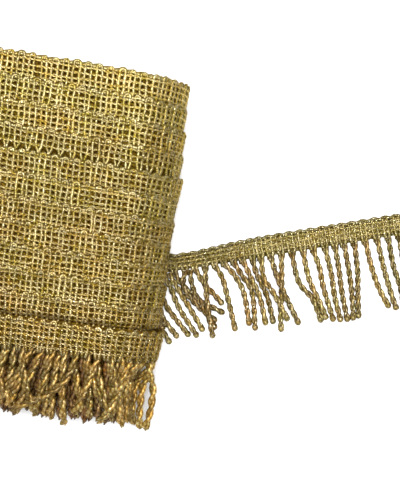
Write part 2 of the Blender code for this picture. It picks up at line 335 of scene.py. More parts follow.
@dataclass(frozen=True)
class YarnFinish:
    """A twisted metallic yarn: its colours, among them a painted shade for its fibres' grooves and painted
    highlights, its gloss and how its fibres lie.
    """

    name: str
    gold: Colour
    olive: Colour
    groove_shade: Colour
    painted_glint: Colour
    warm: Colour
    fleck: float = 0.55
    painted_crest: Colour = (1.0, 0.92, 0.62)
    painted_crest_share: float = 0.0
    metallic: float = 0.75
    roughness: float = 0.36
    glint_roughness: float = 0.22
    ridges: float = 3.0
    slant: float = 9.0
    glint_scale: float = 1500.0
    glint_floor: float = 0.56
    relief: float = 0.6
    relief_depth: float = 0.25 * MM
    specular: float = 0.5
    edge: Colour = (0.95, 0.80, 0.48)

    def warmed(self, name: str, green: float, blue: float) -> "YarnFinish":
        """Give the same finish in a warmer shade, its painted glints and painted crest highlights as they
        are.

        Args:
            name: The new finish's name.
            green: What its colours' greens are multiplied by.
            blue: What their blues are.

        Returns:
            The finish.
        """
        colours = {part: getattr(self, part) for part in ("gold", "olive", "groove_shade", "warm")}
        shades = {part: (r, g * green, b * blue) for part, (r, g, b) in colours.items()}
        return replace(self, name=name, **shades)

    def material(self) -> bpy.types.Material:
        """Make the finish's material, or find it made.

        Returns:
            The material.
        """
        found = bpy.data.materials.get(self.name)
        if found:
            return found
        made = bpy.data.materials.new(self.name)
        made.use_nodes = True
        wiring = Wiring(made.node_tree)
        fibre_inputs = {
            "Ridges": self.ridges,
            "Slant": self.slant,
            "Glint Scale": self.glint_scale,
            "Glint Floor": self.glint_floor,
        }
        fibres = wiring.add("ShaderNodeGroup", fibre_inputs, node_tree=yarn_group()).node.outputs
        tint = wiring.add("ShaderNodeAttribute", {}, "Fac", attribute_name=TINT)
        patched = wiring.mix(fibres["Patch"], self.olive, self.gold)
        warmed = wiring.mix(fibres["Warm"], patched, self.warm)
        # Painted shade: the fibres' grooves darken where the ridge is low.
        ridged = wiring.mix(fibres["Ridge"], self.groove_shade, warmed)
        dark = tuple(value * (1 - self.fleck) for value in self.groove_shade)
        flecked = wiring.mix(fibres["Fleck"], ridged, dark)
        # Painted highlight: a pale line along the strand's top.
        painted_crest_mask = wiring.math("MULTIPLY", fibres["Painted Crest"], self.painted_crest_share)
        toned = wiring.mix(1.0, wiring.mix(painted_crest_mask, flecked, self.painted_crest), tint, "MULTIPLY")
        relief = {"Strength": self.relief, "Distance": self.relief_depth, "Height": fibres["Ridge"]}
        gloss = (self.roughness, self.glint_roughness)
        # The base colour takes painted glints where the fine noise is high.
        shader_inputs = {
            "Metallic": self.metallic,
            "Specular IOR Level": self.specular,
            "Specular Tint": (*self.edge, 1.0),
            "Base Color": wiring.mix(fibres["Painted Glint"], toned, self.painted_glint),
            "Roughness": wiring.spread(fibres["Painted Glint"], 0.0, 1.0, gloss),
            "Normal": wiring.add("ShaderNodeBump", relief, "Normal"),
        }
        wiring.feed(made.node_tree.nodes["Principled BSDF"], shader_inputs)
        return made


# In each finish below, the darkest colour, which the fibres' grooves take, is a painted shade, and the glint
# and crest colours are painted highlights.
WOUND_YARN = YarnFinish(
    "wound_yarn_gold",
    gold=(0.375, 0.285, 0.060),
    olive=(0.300, 0.246, 0.036),
    groove_shade=(0.215, 0.140, 0.011),
    painted_glint=(0.76, 0.70, 0.46),
    warm=(0.370, 0.245, 0.042),
    painted_crest=(0.68, 0.620, 0.385),
    painted_crest_share=0.47,
    fleck=0.55,
    metallic=0.62,
    glint_floor=0.61,
    relief=0.36,
    specular=0.20,
)
WOUND_YARNS = (
    WOUND_YARN,
    WOUND_YARN.warmed("wound_yarn_warm_gold", 0.935, 0.87),
    WOUND_YARN.warmed("wound_yarn_brown_gold", 0.89, 0.82),
)
HEADER_YARN = YarnFinish(
    "header_yarn_pale_gold",
    gold=(0.50, 0.395, 0.118),
    olive=(0.32, 0.272, 0.060),
    groove_shade=(0.21, 0.150, 0.028),
    painted_glint=(1.0, 0.94, 0.68),
    warm=(0.45, 0.325, 0.085),
    painted_crest=(0.76, 0.68, 0.38),
    painted_crest_share=0.30,
    specular=0.20,
)
CORD_YARN = YarnFinish(
    "cord_yarn_old_gold",
    gold=(0.49, 0.385, 0.118),
    olive=(0.28, 0.250, 0.060),
    groove_shade=(0.16, 0.095, 0.015),
    painted_glint=(0.84, 0.77, 0.52),
    warm=(0.40, 0.215, 0.050),
    painted_crest=(0.70, 0.60, 0.40),
    painted_crest_share=0.28,
    fleck=0.6,
    metallic=0.52,
    roughness=0.48,
    glint_roughness=0.40,
    ridges=2.0,
    slant=3.0,
    glint_scale=1100.0,
    glint_floor=0.61,
    specular=0.35,
)
FRINGE_YARN = replace(
    CORD_YARN,
    name="fringe_yarn_old_gold",
    gold=(0.56, 0.450, 0.180),
    olive=(0.37, 0.285, 0.064),
    groove_shade=(0.25, 0.132, 0.020),
    painted_glint=(0.84, 0.77, 0.50),
    warm=(0.45, 0.265, 0.065),
    painted_crest_share=0.18,
    fleck=0.35,
    metallic=0.56,
    roughness=0.46,
    ridges=1.0,
    slant=4.0,
    glint_floor=0.66,
    relief=0.45,
)
SHADE_YARN = replace(
    FRINGE_YARN,
    name="fringe_yarn_in_shade",
    gold=(0.25, 0.140, 0.028),
    olive=(0.16, 0.085, 0.014),
    groove_shade=(0.075, 0.027, 0.005),
    painted_glint=(0.55, 0.40, 0.18),
    warm=(0.20, 0.072, 0.012),
    metallic=0.3,
    roughness=0.55,
)
# The bundle's ground under the nets, in dark browns that are painted shade for the holes between the loops.
SHADED_GROUND_YARN = YarnFinish(
    "ground_yarn_painted_shade",
    gold=(0.195, 0.122, 0.009),
    olive=(0.085, 0.050, 0.003),
    groove_shade=(0.045, 0.022, 0.002),
    painted_glint=(0.22, 0.14, 0.03),
    warm=(0.105, 0.048, 0.004),
    metallic=0.0,
    roughness=0.9,
    glint_roughness=0.8,
    ridges=72.0,
    slant=4.0,
    relief=0.3,
    specular=0.0,
)
# The loose end's band under its net, in dark olives that are painted shade for the holes between the loops.
SHADED_BAND_YARN = YarnFinish(
    "band_yarn_painted_shade",
    gold=(0.19, 0.140, 0.022),
    olive=(0.12, 0.095, 0.014),
    groove_shade=(0.065, 0.042, 0.004),
    painted_glint=(0.90, 0.80, 0.50),
    warm=(0.26, 0.19, 0.045),
    metallic=0.3,
    roughness=0.6,
    glint_roughness=0.4,
    ridges=9.0,
    slant=3.9,
    relief=0.8,
    specular=0.2,
)


# The meshes


@dataclass
class Strands:
    """Strands gathered for one piece: round tubes along centrelines, with flat ends."""

    points: list[Array] = field(default_factory=list)
    loops: list[Array] = field(default_factory=list)
    totals: list[Array] = field(default_factory=list)
    uvs: list[Array] = field(default_factory=list)
    tints: list[Array] = field(default_factory=list)
    count: int = 0

    def add(self, lines: Array, ups: Array, radii: Array, sides: int, tints: Array) -> None:
        """Carry a circle along each line: centre plus radius times (cos a times side plus sin a times up).

        Side is up crossed with the line's heading, so that faces point outwards.

        Args:
            lines: Centrelines shaped (strands, stations, 3).
            ups: A direction away from the surface that each station lies on, of the same shape.
            radii: The strands' radii, shaped to spread over (strands, stations).
            sides: How many sides a strand has.
            tints: Each strand's tint, or each station's, shaped to spread over (strands, stations).
        """
        toned = tints[:, None] if tints.ndim == 1 else tints
        side, up = square_to(lines, ups)
        angle = 2 * math.pi * np.arange(sides) / sides
        ring = np.cos(angle)[:, None] * side[:, :, None] + np.sin(angle)[:, None] * up[:, :, None]
        reach = np.broadcast_to(radii, lines.shape[:2])[..., None, None]
        self.join(lines[:, :, None] + reach * ring, travelled(lines) / UV_UNIT, toned)

    def join(self, rings: Array, along: Array, tints: Array | float) -> None:
        """Join rings of corners into closed skins with flat ends.

        A skin's rings run anticlockwise, seen from the last one's side.

        Args:
            rings: Corners shaped (skins, rings, corners, 3).
            along: Each ring's place along its skin for the UV map, shaped (skins, rings).
            tints: The rings' tints, shaped to spread over (skins, rings).
        """
        skins, rows, corners = rings.shape[:3]
        number = self.count + np.arange(skins * rows * corners).reshape(skins, rows, corners)
        here, there = number[:, :-1], number[:, 1:]
        following = np.roll(np.arange(corners), -1)
        quads = np.stack((here, here[..., following], there[..., following], there), axis=-1)
        self.points.append(rings.reshape(-1, 3))
        self.loops += [quads.reshape(-1), number[:, 0, ::-1].reshape(-1), number[:, -1].reshape(-1)]
        self.totals += [np.full(quads[..., 0].size, 4), np.full(2 * skins, corners)]
        u, v = np.arange(corners) / corners, along[..., None]
        v_here, v_there, u_next = v[:, :-1], v[:, 1:], u + 1 / corners
        sides = ((u, v_here), (u_next, v_here), (u_next, v_there), (u, v_there))
        for faces in (sides, ((u, v[:, 0]),), ((u, v[:, -1]),)):
            pairs = [np.stack(np.broadcast_arrays(*pair), axis=-1) for pair in faces]
            self.uvs.append(np.stack(pairs, axis=-2).reshape(-1, 2))
        self.tints.append(np.repeat(np.broadcast_to(tints, (skins, rows)).reshape(-1), corners))
        self.count += number.size

    def finish(
        self, name: str, finish: YarnFinish, slot: Slot, replaces: tuple[str, ...] = ()
    ) -> bpy.types.Object:
        """Make the piece, give it its finish and have it ride on the part.

        Args:
            name: The piece's name.
            finish: Its finish.
            slot: The record's material slot; not used.
            replaces: The CAD nodes that it stands for.

        Returns:
            The piece.
        """
        mesh = bpy.data.meshes.new(name)
        points, loops = np.concatenate(self.points), np.concatenate(self.loops)
        totals = np.concatenate(self.totals)
        mesh.vertices.add(len(points))
        mesh.loops.add(len(loops))
        mesh.polygons.add(len(totals))
        mesh.vertices.foreach_set("co", points.astype(np.float32).ravel())
        mesh.loops.foreach_set("vertex_index", loops.astype(np.int32))
        mesh.polygons.foreach_set("loop_start", (np.cumsum(totals) - totals).astype(np.int32))
        mesh.update(calc_edges=True)
        mesh.polygons.foreach_set("use_smooth", np.ones(len(totals), dtype=bool))
        uv = mesh.uv_layers.new(name=STRAND_UV)
        uv.uv.foreach_set("vector", np.concatenate(self.uvs).astype(np.float32).ravel())
        tint = mesh.attributes.new(TINT, "FLOAT", "POINT")
        tint.data.foreach_set("value", np.concatenate(self.tints).astype(np.float32))
        mesh.materials.append(finish.material())
        piece = bpy.data.objects.new(name, mesh)
        bpy.context.scene.collection.objects.link(piece)
        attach(piece, "root")
        if replaces:
            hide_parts(*replaces)
        LOG.info("%s: %d corners, %d faces", name, len(points), len(totals))
        return piece


# The form of the bundle


@dataclass(frozen=True)
class Oval:
    """The flat oval that the trim is wound round: straight top and underside, half-round sides."""

    half_width: float = 80.4 * MM
    side_radius: float = 21.0 * MM
    crown: float = 1.6 * MM

    @property
    def flat_half(self) -> float:
        """Give half the length of the flat top.

        Returns:
            The half length.
        """
        return self.half_width - self.side_radius

    def length(self) -> float:
        """Give the length round it.

        Returns:
            The four straight halves plus the circle of the side's radius.
        """
        return 4 * self.flat_half + 2 * math.pi * self.side_radius

    def at(self, distance: Array, inset: Array | float = 0.0) -> Laid:
        """Read it at distances from the right end of its underside, up and back over the top.

        On a side the place is its centre plus the radius times the cosine and sine of the angle run
        through, and on a flat it is the flat's end plus the distance. The crown adds its height times 1
        minus the square of x over the half width.

        Args:
            distance: How far round, as on the oval that lies inset 0.
            inset: How far inside its outline.

        Returns:
            The points (x, z) and the outward normals there.
        """
        distance, inset = np.broadcast_arrays(np.asarray(distance, float), inset)
        arc, flat = math.pi * self.side_radius, 2 * self.flat_half
        d = np.mod(distance, self.length())
        stretches = [d < arc, d < arc + flat, d < 2 * arc + flat]
        quarter = math.pi / 2
        right, left = d / self.side_radius - quarter, (d - flat) / self.side_radius - quarter
        angle = np.select(stretches, [right, np.full_like(d, quarter), left], -quarter)
        end, over = np.full_like(d, self.flat_half), self.flat_half + arc - d
        centre = np.select(stretches, [end, over, -end], d - 2 * arc - flat - self.flat_half)
        normal = np.stack((np.cos(angle), np.sin(angle)), axis=-1)
        radius = self.side_radius - inset
        x = centre + radius * normal[..., 0]
        crown = self.crown * np.clip(normal[..., 1], 0.0, 1.0) * (1.0 - (x / self.half_width) ** 2)
        return np.stack((x, self.side_radius + radius * normal[..., 1] + crown), axis=-1), normal


OVAL = Oval()
ABOVE_FLOOR = (-0.9, -0.3)


@dataclass(frozen=True)
class WoundRow:
    """One turn of the header on the bundle: its upper edge stands proud, its foot is under the next row."""

    top: float
    height: float
    seam: float
    lip: float
    right: float
    left: float
    phase: float
    open_roots: bool = False
    stretch: float = 0.0
    foot: float = 0.2 * MM
    side_lip: float = 0.75
    side_lip_run: Reach = (0.3, 0.95)
    side_swell: float = 0.7 * MM
    side_swell_run: Reach = (0.5, 1.0)
    tuck_depth: float = 1.3 * MM
    tuck_run: Reach = (1.0, 1.35)
    deep_seam: float = 1.2 * MM
    deep_tuck_depth: float = 2.6 * MM
    deep_tuck_run: Reach = (0.97, 1.06)
    top_run: float = -0.2
    stretch_run: float = 1.1
    stretch_fade: float = 0.3
    rumple: float = 0.22 * MM
    rumple_cycles: tuple[float, ...] = (5, 11, 17, 29)
    rumple_phases: tuple[float, ...] = (1, 2.3, 3.1, 4.7)
    drift: float = 0.32 * MM
    drift_cycles: tuple[float, ...] = (4, 9, 15, 23)
    drift_phases: tuple[float, ...] = (1.7, 0.9, 2.9, 5.3)
    slopes_at: tuple[float, ...] = (-0.066, -0.045, -0.022, 0.0, 0.022, 0.045, 0.066)
    slopes: tuple[float, ...] = (0.0, 0.008, 0.024, 0.036, 0.046, 0.042, 0.034)

    def place(self, distance: Array, down: Array, lift: Array) -> Laid:
        """Lay places of the header on the bundle.

        The height over the oval goes evenly from the lip to the foot, and sinks under the next row past
        that, sharply so at a deep seam. Rows slope: y falls by the slope there times x. A stretched row
        grows by its stretch over its height, less so at the right. Slow sines shift and lift the row.

        Args:
            distance: How far round the oval.
            down: How far below the tops of the scallops.
            lift: How far above the header's own plane.

        Returns:
            The points and the outward normals there.
        """
        distance, down, lift = np.broadcast_arrays(distance, down, lift)
        flat, normal = OVAL.at(distance)
        share = distance / OVAL.length()
        above = ease(normal[..., 1], *ABOVE_FLOOR)
        sideways = np.abs(normal[..., 0])
        t = down / self.height
        tucked = ease(t, *self.tuck_run) * self.tuck_depth
        if self.seam > self.deep_seam:
            tucked = ease(t, *self.deep_tuck_run) * self.deep_tuck_depth
        lip = self.lip * (1 - (1 - self.side_lip) * ease(sideways, *self.side_lip_run))
        swelling = lip + (self.foot - lip) * np.clip(t, self.top_run, 1.0) - tucked
        swelling = swelling + self.side_swell * ease(sideways, *self.side_swell_run)
        rumple_phases, drift_phases = (
            self.phase * np.array(phases) for phases in (self.rumple_phases, self.drift_phases)
        )
        swelling = swelling + self.rumple * waves(share, self.rumple_cycles, rumple_phases)
        x = flat[..., 0]
        rightwards, leftwards = (ease(way, 0.0, OVAL.half_width) for way in (x, -x))
        reach = self.right * rightwards + self.left * leftwards
        out = (swelling + reach * sideways) * above - tucked * (1 - above) + lift
        y = self.top - down + self.drift * waves(share, self.drift_cycles, drift_phases)
        y = y - np.interp(y, self.slopes_at, self.slopes) * x
        y = y - self.stretch * np.clip(t, 0.0, self.stretch_run) * (1 - self.stretch_fade * rightwards)
        points = np.stack((x + normal[..., 0] * out, y, flat[..., 1] + normal[..., 1] * out), axis=-1)
        away = np.stack((normal[..., 0], np.zeros_like(x), normal[..., 1]), axis=-1)
        return points, away


# Each wound row in mm, from the +Y end down: height, bare seam below it, lip, reach at the right and left.
ROW_TABLE = (
    (10.6, 0.3, 1.4, -1.2, 0.3),
    (10.5, 0.2, 1.3, -0.8, -0.4),
    (10.6, 0.3, 1.5, -0.2, 0.6),
    (10.3, 0.9, 1.4, 0.2, 0.0),
    (10.4, 0.2, 1.7, 1.0, -0.5),
    (10.7, 0.2, 1.4, 0.1, 0.4),
    (10.5, 0.3, 1.5, -0.2, 0.8),
    (10.6, 0.2, 1.3, -0.5, -0.2),
    (10.5, 0.3, 1.5, -0.2, 0.3),
    (10.6, 0.2, 1.4, 0.1, 0.7),
    (9.7, 1.6, 1.2, -0.5, -0.3),
    (10.7, 0.0, 2.3, 1.2, 0.4),
)
OPEN_ROW = 3
LAST_STRETCH = 3.2 * MM
FIRST_PHASE, PHASE_STEP = 1.0, 1.9
BUNDLE_LENGTH = sum(row[0] + row[1] for row in ROW_TABLE) * MM
BACK_END = BUNDLE_LENGTH / 2


def wound_rows() -> list[WoundRow]:
    """Lay the rows of the table out along the bundle.

    Returns:
        The rows, from the +Y end down.
    """
    rows, top = [], BACK_END
    for number, (height, seam, lip, right, left) in enumerate(ROW_TABLE):
        sizes = (value * MM for value in (height, seam, lip, right, left))
        phase = FIRST_PHASE + PHASE_STEP * number
        stretch = LAST_STRETCH if number == len(ROW_TABLE) - 1 else 0.0
        rows.append(WoundRow(top, *sizes, phase, number == OPEN_ROW, stretch))
        top -= (height + seam) * MM
    return rows


# The header


@dataclass(frozen=True)
class HeaderNet:
    """The trim's header: looped legs in pairs, one pair to a scallop, held by chain lines."""

    leg_gap: float = 2.58 * MM
    leg_radius: float = 0.89 * MM
    leg_stations: tuple[float, ...] = (12.2, 11.2, 10.3, 9.4, 8.4, 7.3, 6.2, 5.0, 3.9, 2.8, 1.9)
    leg_wave: float = 0.18 * MM
    wave_pitch: float = 2.85 * MM
    wave_end: float = 9.0 * MM
    leg_bow: float = 0.08
    bow_pitch: float = 2.6 * MM
    arch_corners: int = 7
    arch_rise: float = 0.95
    weave: float = 0.08 * MM
    weave_rate: float = 0.9 / MM
    weave_shift: float = 2.1
    skew: float = 0.34 * MM
    shift: float = 0.14 * MM
    width_change: float = 0.11
    top_change: float = 0.20 * MM
    top_run: float = 4 * MM
    lift_change: float = 0.12 * MM
    leg_tones: Reach = (0.62, 1.05)
    leg_turn: Reach = (0.4, 0.6)
    arch_fade: float = 0.15
    arch_power: int = 8
    gimp_radius: float = 0.95 * MM
    gimp_down: float = 1.05 * MM
    gimp_wave: float = 0.18 * MM
    gimp_lift: float = -0.35 * MM
    gimp_tone: float = 0.76
    gimp_sides: int = 6
    chain_radius: float = 0.44 * MM
    chain_swing: float = 0.30 * MM
    swing_change: float = 0.3
    swing_rate: float = 0.37
    chain_lift: float = 0.26 * MM
    chain_tones: Reach = (0.95, 1.42)
    chain_wobbles: tuple[tuple[float, float, float], ...] = (
        (0.15 * MM, 0.23, 1.0), (0.15 * MM, 0.61, 3.0), (0.12 * MM, 1.37, 5.0),
    )
    chains_down: tuple[float, ...] = (2.5 * MM, 5.1 * MM, 7.8 * MM)
    stretched_chains_down: tuple[float, ...] = (2.3 * MM, 4.2 * MM, 6.1 * MM, 8.0 * MM)
    root_chain_down: float = 9.9 * MM
    vee: Vee = (10.2 * MM, 12.2 * MM, 1.5 * MM)
    open_vee: Vee = (7.8 * MM, 10.8 * MM, 0.5 * MM)
    end_down: float = 12.2 * MM
    leg_sides: int = 5
    chain_sides: int = 4
    chain_steps: int = 3

    def loop(self, vee: Vee) -> Places:
        """Give one scallop's looped yarn: up one leg, round a half circle at the top, and down the other.

        A leg sinks and rises with a cosine between the chains and bows with it, and both legs close in to
        the root's gap on a smooth curve below the last chain.

        Args:
            vee: From where to where, below the tops, the legs close in, and to what gap.

        Returns:
            The places along the header from the scallop's middle, down from its top, and lifts.
        """
        half = self.leg_gap / 2
        stations = np.array(self.leg_stations) * MM
        turn = np.linspace(0.0, math.pi, self.arch_corners)
        inner = half * (1 - (1 - vee[2] / self.leg_gap) * ease(stations, *vee[:2]))
        past_chain = stations - self.chains_down[0]
        inner = inner * (1 - self.leg_bow * np.cos(2 * math.pi * past_chain / self.bow_pitch))
        side = np.concatenate((-inner, -half * np.cos(turn), inner[::-1]))
        down = np.concatenate((stations, half * self.arch_rise * (1 - np.sin(turn)), stations[::-1]))
        wave = np.cos(2 * math.pi * (down - self.chains_down[0]) / self.wave_pitch)
        return side, down, -self.leg_wave * wave * (down < self.wave_end)

    def legs(self, middles: Array, vee: Vee, noise: Array) -> Places:
        """Give all scallops' looped yarns, each shifted, skewed, woven and widened by its own unevenness.

        Args:
            middles: The scallops' middles along the header.
            vee: From where to where, below the tops, the legs close in, and to what gap.
            noise: Unevenness shaped (scallops, 4), of standard size 1.

        Returns:
            Places along the header, down from its top and lifts, each shaped (scallops, stations).
        """
        side, down, lift = self.loop(vee)
        lean, shift, width, height = np.split(noise, 4, axis=1)
        weave = self.weave * (1 + np.abs(height)) * np.sin(self.weave_rate * down + self.weave_shift * shift)
        skew = lean * self.skew * (down / self.end_down) + shift * self.shift + weave
        along = middles[:, None] + side * (1 + self.width_change * width) + skew
        top = height * self.top_change * (1 - ease(down, 0.0, self.top_run))
        return along, down + top, np.broadcast_to(lift, along.shape) + width * self.lift_change

    def leg_tints(self, count: int, stations: int, rng: np.random.Generator) -> Array:
        """Give the looped yarns' tints: each leg its own, less over the arch by a power of a sine.

        Args:
            count: How many yarns there are.
            stations: How many places along each.
            rng: Where the tints come from.

        Returns:
            The tints, shaped (yarns, stations).
        """
        share = np.linspace(0.0, 1.0, stations)
        first, second = rng.uniform(*self.leg_tones, size=(2, count, 1))
        tones = first + (second - first) * ease(share, *self.leg_turn)
        return tones * (1 - self.arch_fade * np.sin(math.pi * share) ** self.arch_power)

    def gimp(self, middles: Array, steps: int) -> Places:
        """Give the soft filling cord that runs through the arches, and rises in each with a cosine.

        Args:
            middles: The scallops' middles along the header.
            steps: How many steps it takes from one scallop to the next.

        Returns:
            Places along the header, down from its top and lifts.
        """
        turn = np.linspace(-0.5, len(middles) - 0.5, len(middles) * steps + 1)
        edges = np.concatenate(([2 * middles[0] - middles[1]], middles, [2 * middles[-1] - middles[-2]]))
        along = np.interp(turn, np.arange(-1, len(middles) + 1), edges)
        down = self.gimp_down - self.gimp_wave * np.cos(2 * math.pi * turn)
        return along, down, np.full_like(along, self.gimp_lift)

    def chain(self, start: float, end: float, down: float, strand: int, phase: float) -> Places:
        """Give one strand of a chain line: it circles its mate once over two legs.

        The line wobbles by a sum of sines of its turn, each with its own size, rate and shift of phase.

        Args:
            start: Where the line starts along the header.
            end: Where it ends.
            down: How far below the scallops' tops it runs.
            strand: 0 or 1, half a turn apart.
            phase: Where in its turn it starts.

        Returns:
            Places along the header, down from its top and lifts.
        """
        steps = max(4, round((end - start) / self.leg_gap * self.chain_steps))
        along = np.linspace(start, end, steps + 1)
        turn = math.pi * along / self.leg_gap + strand * math.pi + phase
        swing = self.chain_swing * (1 + self.swing_change * np.sin(self.swing_rate * turn + 2 * phase))
        wobble = sum(size * np.sin(rate * turn + shift * phase) for size, rate, shift in self.chain_wobbles)
        return along, down + wobble + swing * np.cos(turn), self.chain_lift + swing * np.sin(turn)


HEADER = HeaderNet()


@dataclass
class WoundBundle:
    """The wound form: its ground, dark with painted shade, and a net of header for each row, without chains
    where it rests.
    """

    scallops: int = 72
    sink: float = 0.42 * MM
    under_sink: float = 0.90 * MM
    under_run: Reach = (-0.995, -0.6)
    ground_depth: float = 1.8 * MM
    open_seam: float = 0.5 * MM
    seam_depth: float = 2.4 * MM
    seam_hem: Reach = (0.2 * MM, -0.1 * MM)
    ring_shares: tuple[float, ...] = (0.005, 0.05, 0.35, 0.7, 0.94)
    steps_round: int = 216
    chain_hem: float = 12.0 * MM
    # How dark the core's rings are: painted shade.
    core_shade: float = 0.3
    # The rows' tones, from the +Y end down: painted light, brighter at the +Y end.
    tones: tuple[float, float, float] = (1.14, 0.94, 0.95)
    warmer_from: tuple[int, int] = (6, 10)
    last_spread: float = 0.3
    open_change: float = 0.20
    right_closing: float = 0.5
    right_closing_run: Reach = (15 * MM, 45 * MM)
    leg_change: float = 0.10
    gimp_steps: int = 6
    # Painted shade towards the side turned to the loose end.
    side_shade: float = 0.05
    side_shade_run: Reach = (45 * MM, 85 * MM)
    # Painted shade between the legs: the first leg of each pair darker towards that side.
    side_shade_stripe: float = 0.50
    side_shade_stripe_run: Reach = (55 * MM, 80 * MM)
    root_chain_tone: float = 0.85
    seed: int = 11
    back_turns: tuple[Reach, ...] = (
        (20.6, 4.2), (14.6, 4.2), (13.9, 3.0), (9.6, 3.0), (8.9, 1.5), (4.8, 1.5), (4.0, 0.2), (2.0, 0.0),
    )
    edge_insets: tuple[float, ...] = (1.9, 3.5, 5.3, 7.1, 9.2, 11.0, 12.8, 14.9, 16.6, 18.3, 20.0)
    edge_change: float = 0.35
    edge_cycles: tuple[float, ...] = (3, 7, 13, 21)
    edge_scallop: float = 0.45
    edge_sink: float = 0.5
    most_inset: float = 20.3
    edge_radii: Reach = (0.75 * MM, 1.0 * MM)
    edge_tones: Reach = (0.6, 1.1)
    core_turns: tuple[Reach, ...] = (
        (3.4, 0.4), (8.5, 0.8), (10.0, 6.0), (11.4, 12.0),
        (13.0, 16.0), (15.0, 19.0), (17.5, 21.0), (20.4, 21.5),
    )
    rows: list[WoundRow] = field(default_factory=wound_rows)

    def ground(self) -> bpy.types.Object:
        """Build the ground: rings round the oval under each row, stepped turns behind, a core in front.

        Returns:
            The piece.
        """
        distance = np.arange(self.steps_round) / self.steps_round * OVAL.length()
        rings: list[Array] = []
        first, last = self.rows[0], self.rows[-1]
        for inset, depth in self.back_turns:
            points, _ = first.place(distance, 0.0, 0.0)
            flat, _ = OVAL.at(distance, inset * MM)
            rings.append(np.stack((flat[:, 0], points[:, 1] - depth * MM, flat[:, 1]), axis=-1))
        for row in self.rows:
            for share in self.ring_shares:
                rings.append(row.place(distance, share * row.height, -self.ground_depth)[0])
            if row is not last and row.seam > self.open_seam:
                for down in (row.height + self.seam_hem[0], row.height + row.seam + self.seam_hem[1]):
                    _, normal = OVAL.at(distance)
                    depth = self.ground_depth + self.seam_depth * ease(normal[:, 1], *ABOVE_FLOOR)
                    rings.append(row.place(distance, down, -depth)[0])
        edge = last.place(distance, last.height, 0.0)[0][:, 1]
        for inset, run in self.core_turns:
            flat, _ = OVAL.at(distance, inset * MM)
            points = np.stack((flat[:, 0], edge, flat[:, 1]), axis=-1)
            points = DRAPE.move(points, np.full(len(points), run * MM))
            points[:, 1] -= run * MM
            rings.append(points)
        stacked = np.stack(rings)
        along = np.concatenate(([0.0], np.cumsum(np.abs(np.diff(stacked[:, 0, 1])) + 0.2 * MM))) / UV_UNIT
        strands = Strands()
        # The core's rings are darker still, a painted shade in the slots between the cords' roots.
        tint = np.where(np.arange(len(rings)) < len(rings) - len(self.core_turns), 1.0, self.core_shade)
        strands.join(stacked[None], along[None], tint)
        return strands.finish("bundle_ground", SHADED_GROUND_YARN, Slot.WOUND, ("wound_bundle",))

    def net(self, number: int, row: WoundRow, rng: np.random.Generator) -> bpy.types.Object:
        """Build one row's net round the oval.

        Args:
            number: The row's number, from the +Y end.
            row: The row.
            rng: Where its unevenness comes from.

        Returns:
            The piece.
        """
        pitch = OVAL.length() / self.scallops
        under = 2 * OVAL.flat_half - self.chain_hem
        # Painted light: the row's tone, brighter towards the +Y end.
        row_light = np.interp(number, np.linspace(0, len(self.rows) - 1, len(self.tones)), self.tones)
        shift = rng.uniform(0.0, pitch)
        middles = (np.arange(self.scallops) + 0.5) * pitch + shift
        noise = rng.normal(size=(self.scallops, 4))
        strands = Strands()

        def lay(along: Array, down: Array, lift: Array) -> Laid:
            """Lay header places on the row, sunk so that nothing stands under the floor.

            Args:
                along: Places round the oval.
                down: How far below the tops.
                lift: Lifts.

            Returns:
                The points and normals.
            """
            _, normal = OVAL.at(along)
            low = 1 - ease(normal[..., 1], *self.under_run)
            return row.place(along, down, lift - self.sink - self.under_sink * low)

        closed, opened = (HEADER.legs(middles, vee, noise) for vee in (HEADER.vee, HEADER.open_vee))
        spread = self.openness(middles, noise) if row.open_roots else self.last_spread * (row.stretch > 0)
        lines, ups = lay(*(shut + spread * (wide - shut) for shut, wide in zip(closed, opened)))
        radii = HEADER.leg_radius * (1 + self.leg_change * rng.normal(size=(len(lines), 1)))
        # Towards the side turned to the loose end the first leg of each pair is darker: painted shade between
        # the legs.
        first_leg = np.linspace(0.0, 1.0, lines.shape[1]) < 0.5
        shade_stripes = 1 - self.side_shade_stripe * first_leg * ease(lines[..., 0], *self.side_shade_stripe_run)
        tints = row_light * HEADER.leg_tints(*lines.shape[:2], rng) * self.shade(lines) * shade_stripes
        strands.add(lines, ups, radii, HEADER.leg_sides, tints)
        lines, ups = lay(*(values[None] for values in HEADER.gimp(middles, self.gimp_steps)))
        tints = row_light * np.array([HEADER.gimp_tone])
        strands.add(lines, ups, np.full((1, 1), HEADER.gimp_radius), HEADER.gimp_sides, tints)
        chains = HEADER.stretched_chains_down if row.stretch else HEADER.chains_down
        chains = chains if row.open_roots else (*chains, HEADER.root_chain_down)
        for down in chains:
            phase = rng.uniform(0, 2 * math.pi)
            bright = row_light * rng.uniform(*HEADER.chain_tones, size=1)
            if down == HEADER.root_chain_down:
                bright = bright * self.root_chain_tone
            for strand in (0, 1):
                places = HEADER.chain(-self.chain_hem, OVAL.length() - under, down, strand, phase)
                lines, ups = lay(*(values[None] for values in places))
                tints = bright * self.shade(lines)
                strands.add(lines, ups, np.full((1, 1), HEADER.chain_radius), HEADER.chain_sides, tints)
        finish = WOUND_YARNS[(number >= self.warmer_from[0]) + (number >= self.warmer_from[1])]
        return strands.finish(f"row_net_{number:02d}", finish, Slot.WOUND)

    def openness(self, middles: Array, noise: Array) -> Array:
        """Give how far each scallop's roots close in: all the way at the left, about half at the right.

        Args:
            middles: The scallops' middles round the oval.
            noise: Unevenness shaped (scallops, 4), of standard size 1.

        Returns:
            The shares, shaped (scallops, 1).
        """
        flat, _ = OVAL.at(middles)
        share = 1 - self.right_closing * ease(flat[:, :1], *self.right_closing_run)
        return np.clip(share + self.open_change * noise[:, :1], 0.0, 1.0)

    def shade(self, lines: Array) -> Array:
        """Give the painted shade: a tone that falls off towards the side turned to the loose end.

        Args:
            lines: Points along the strands.

        Returns:
            A tone for each point.
        """
        return 1 - self.side_shade * ease(lines[..., 0], *self.side_shade_run)

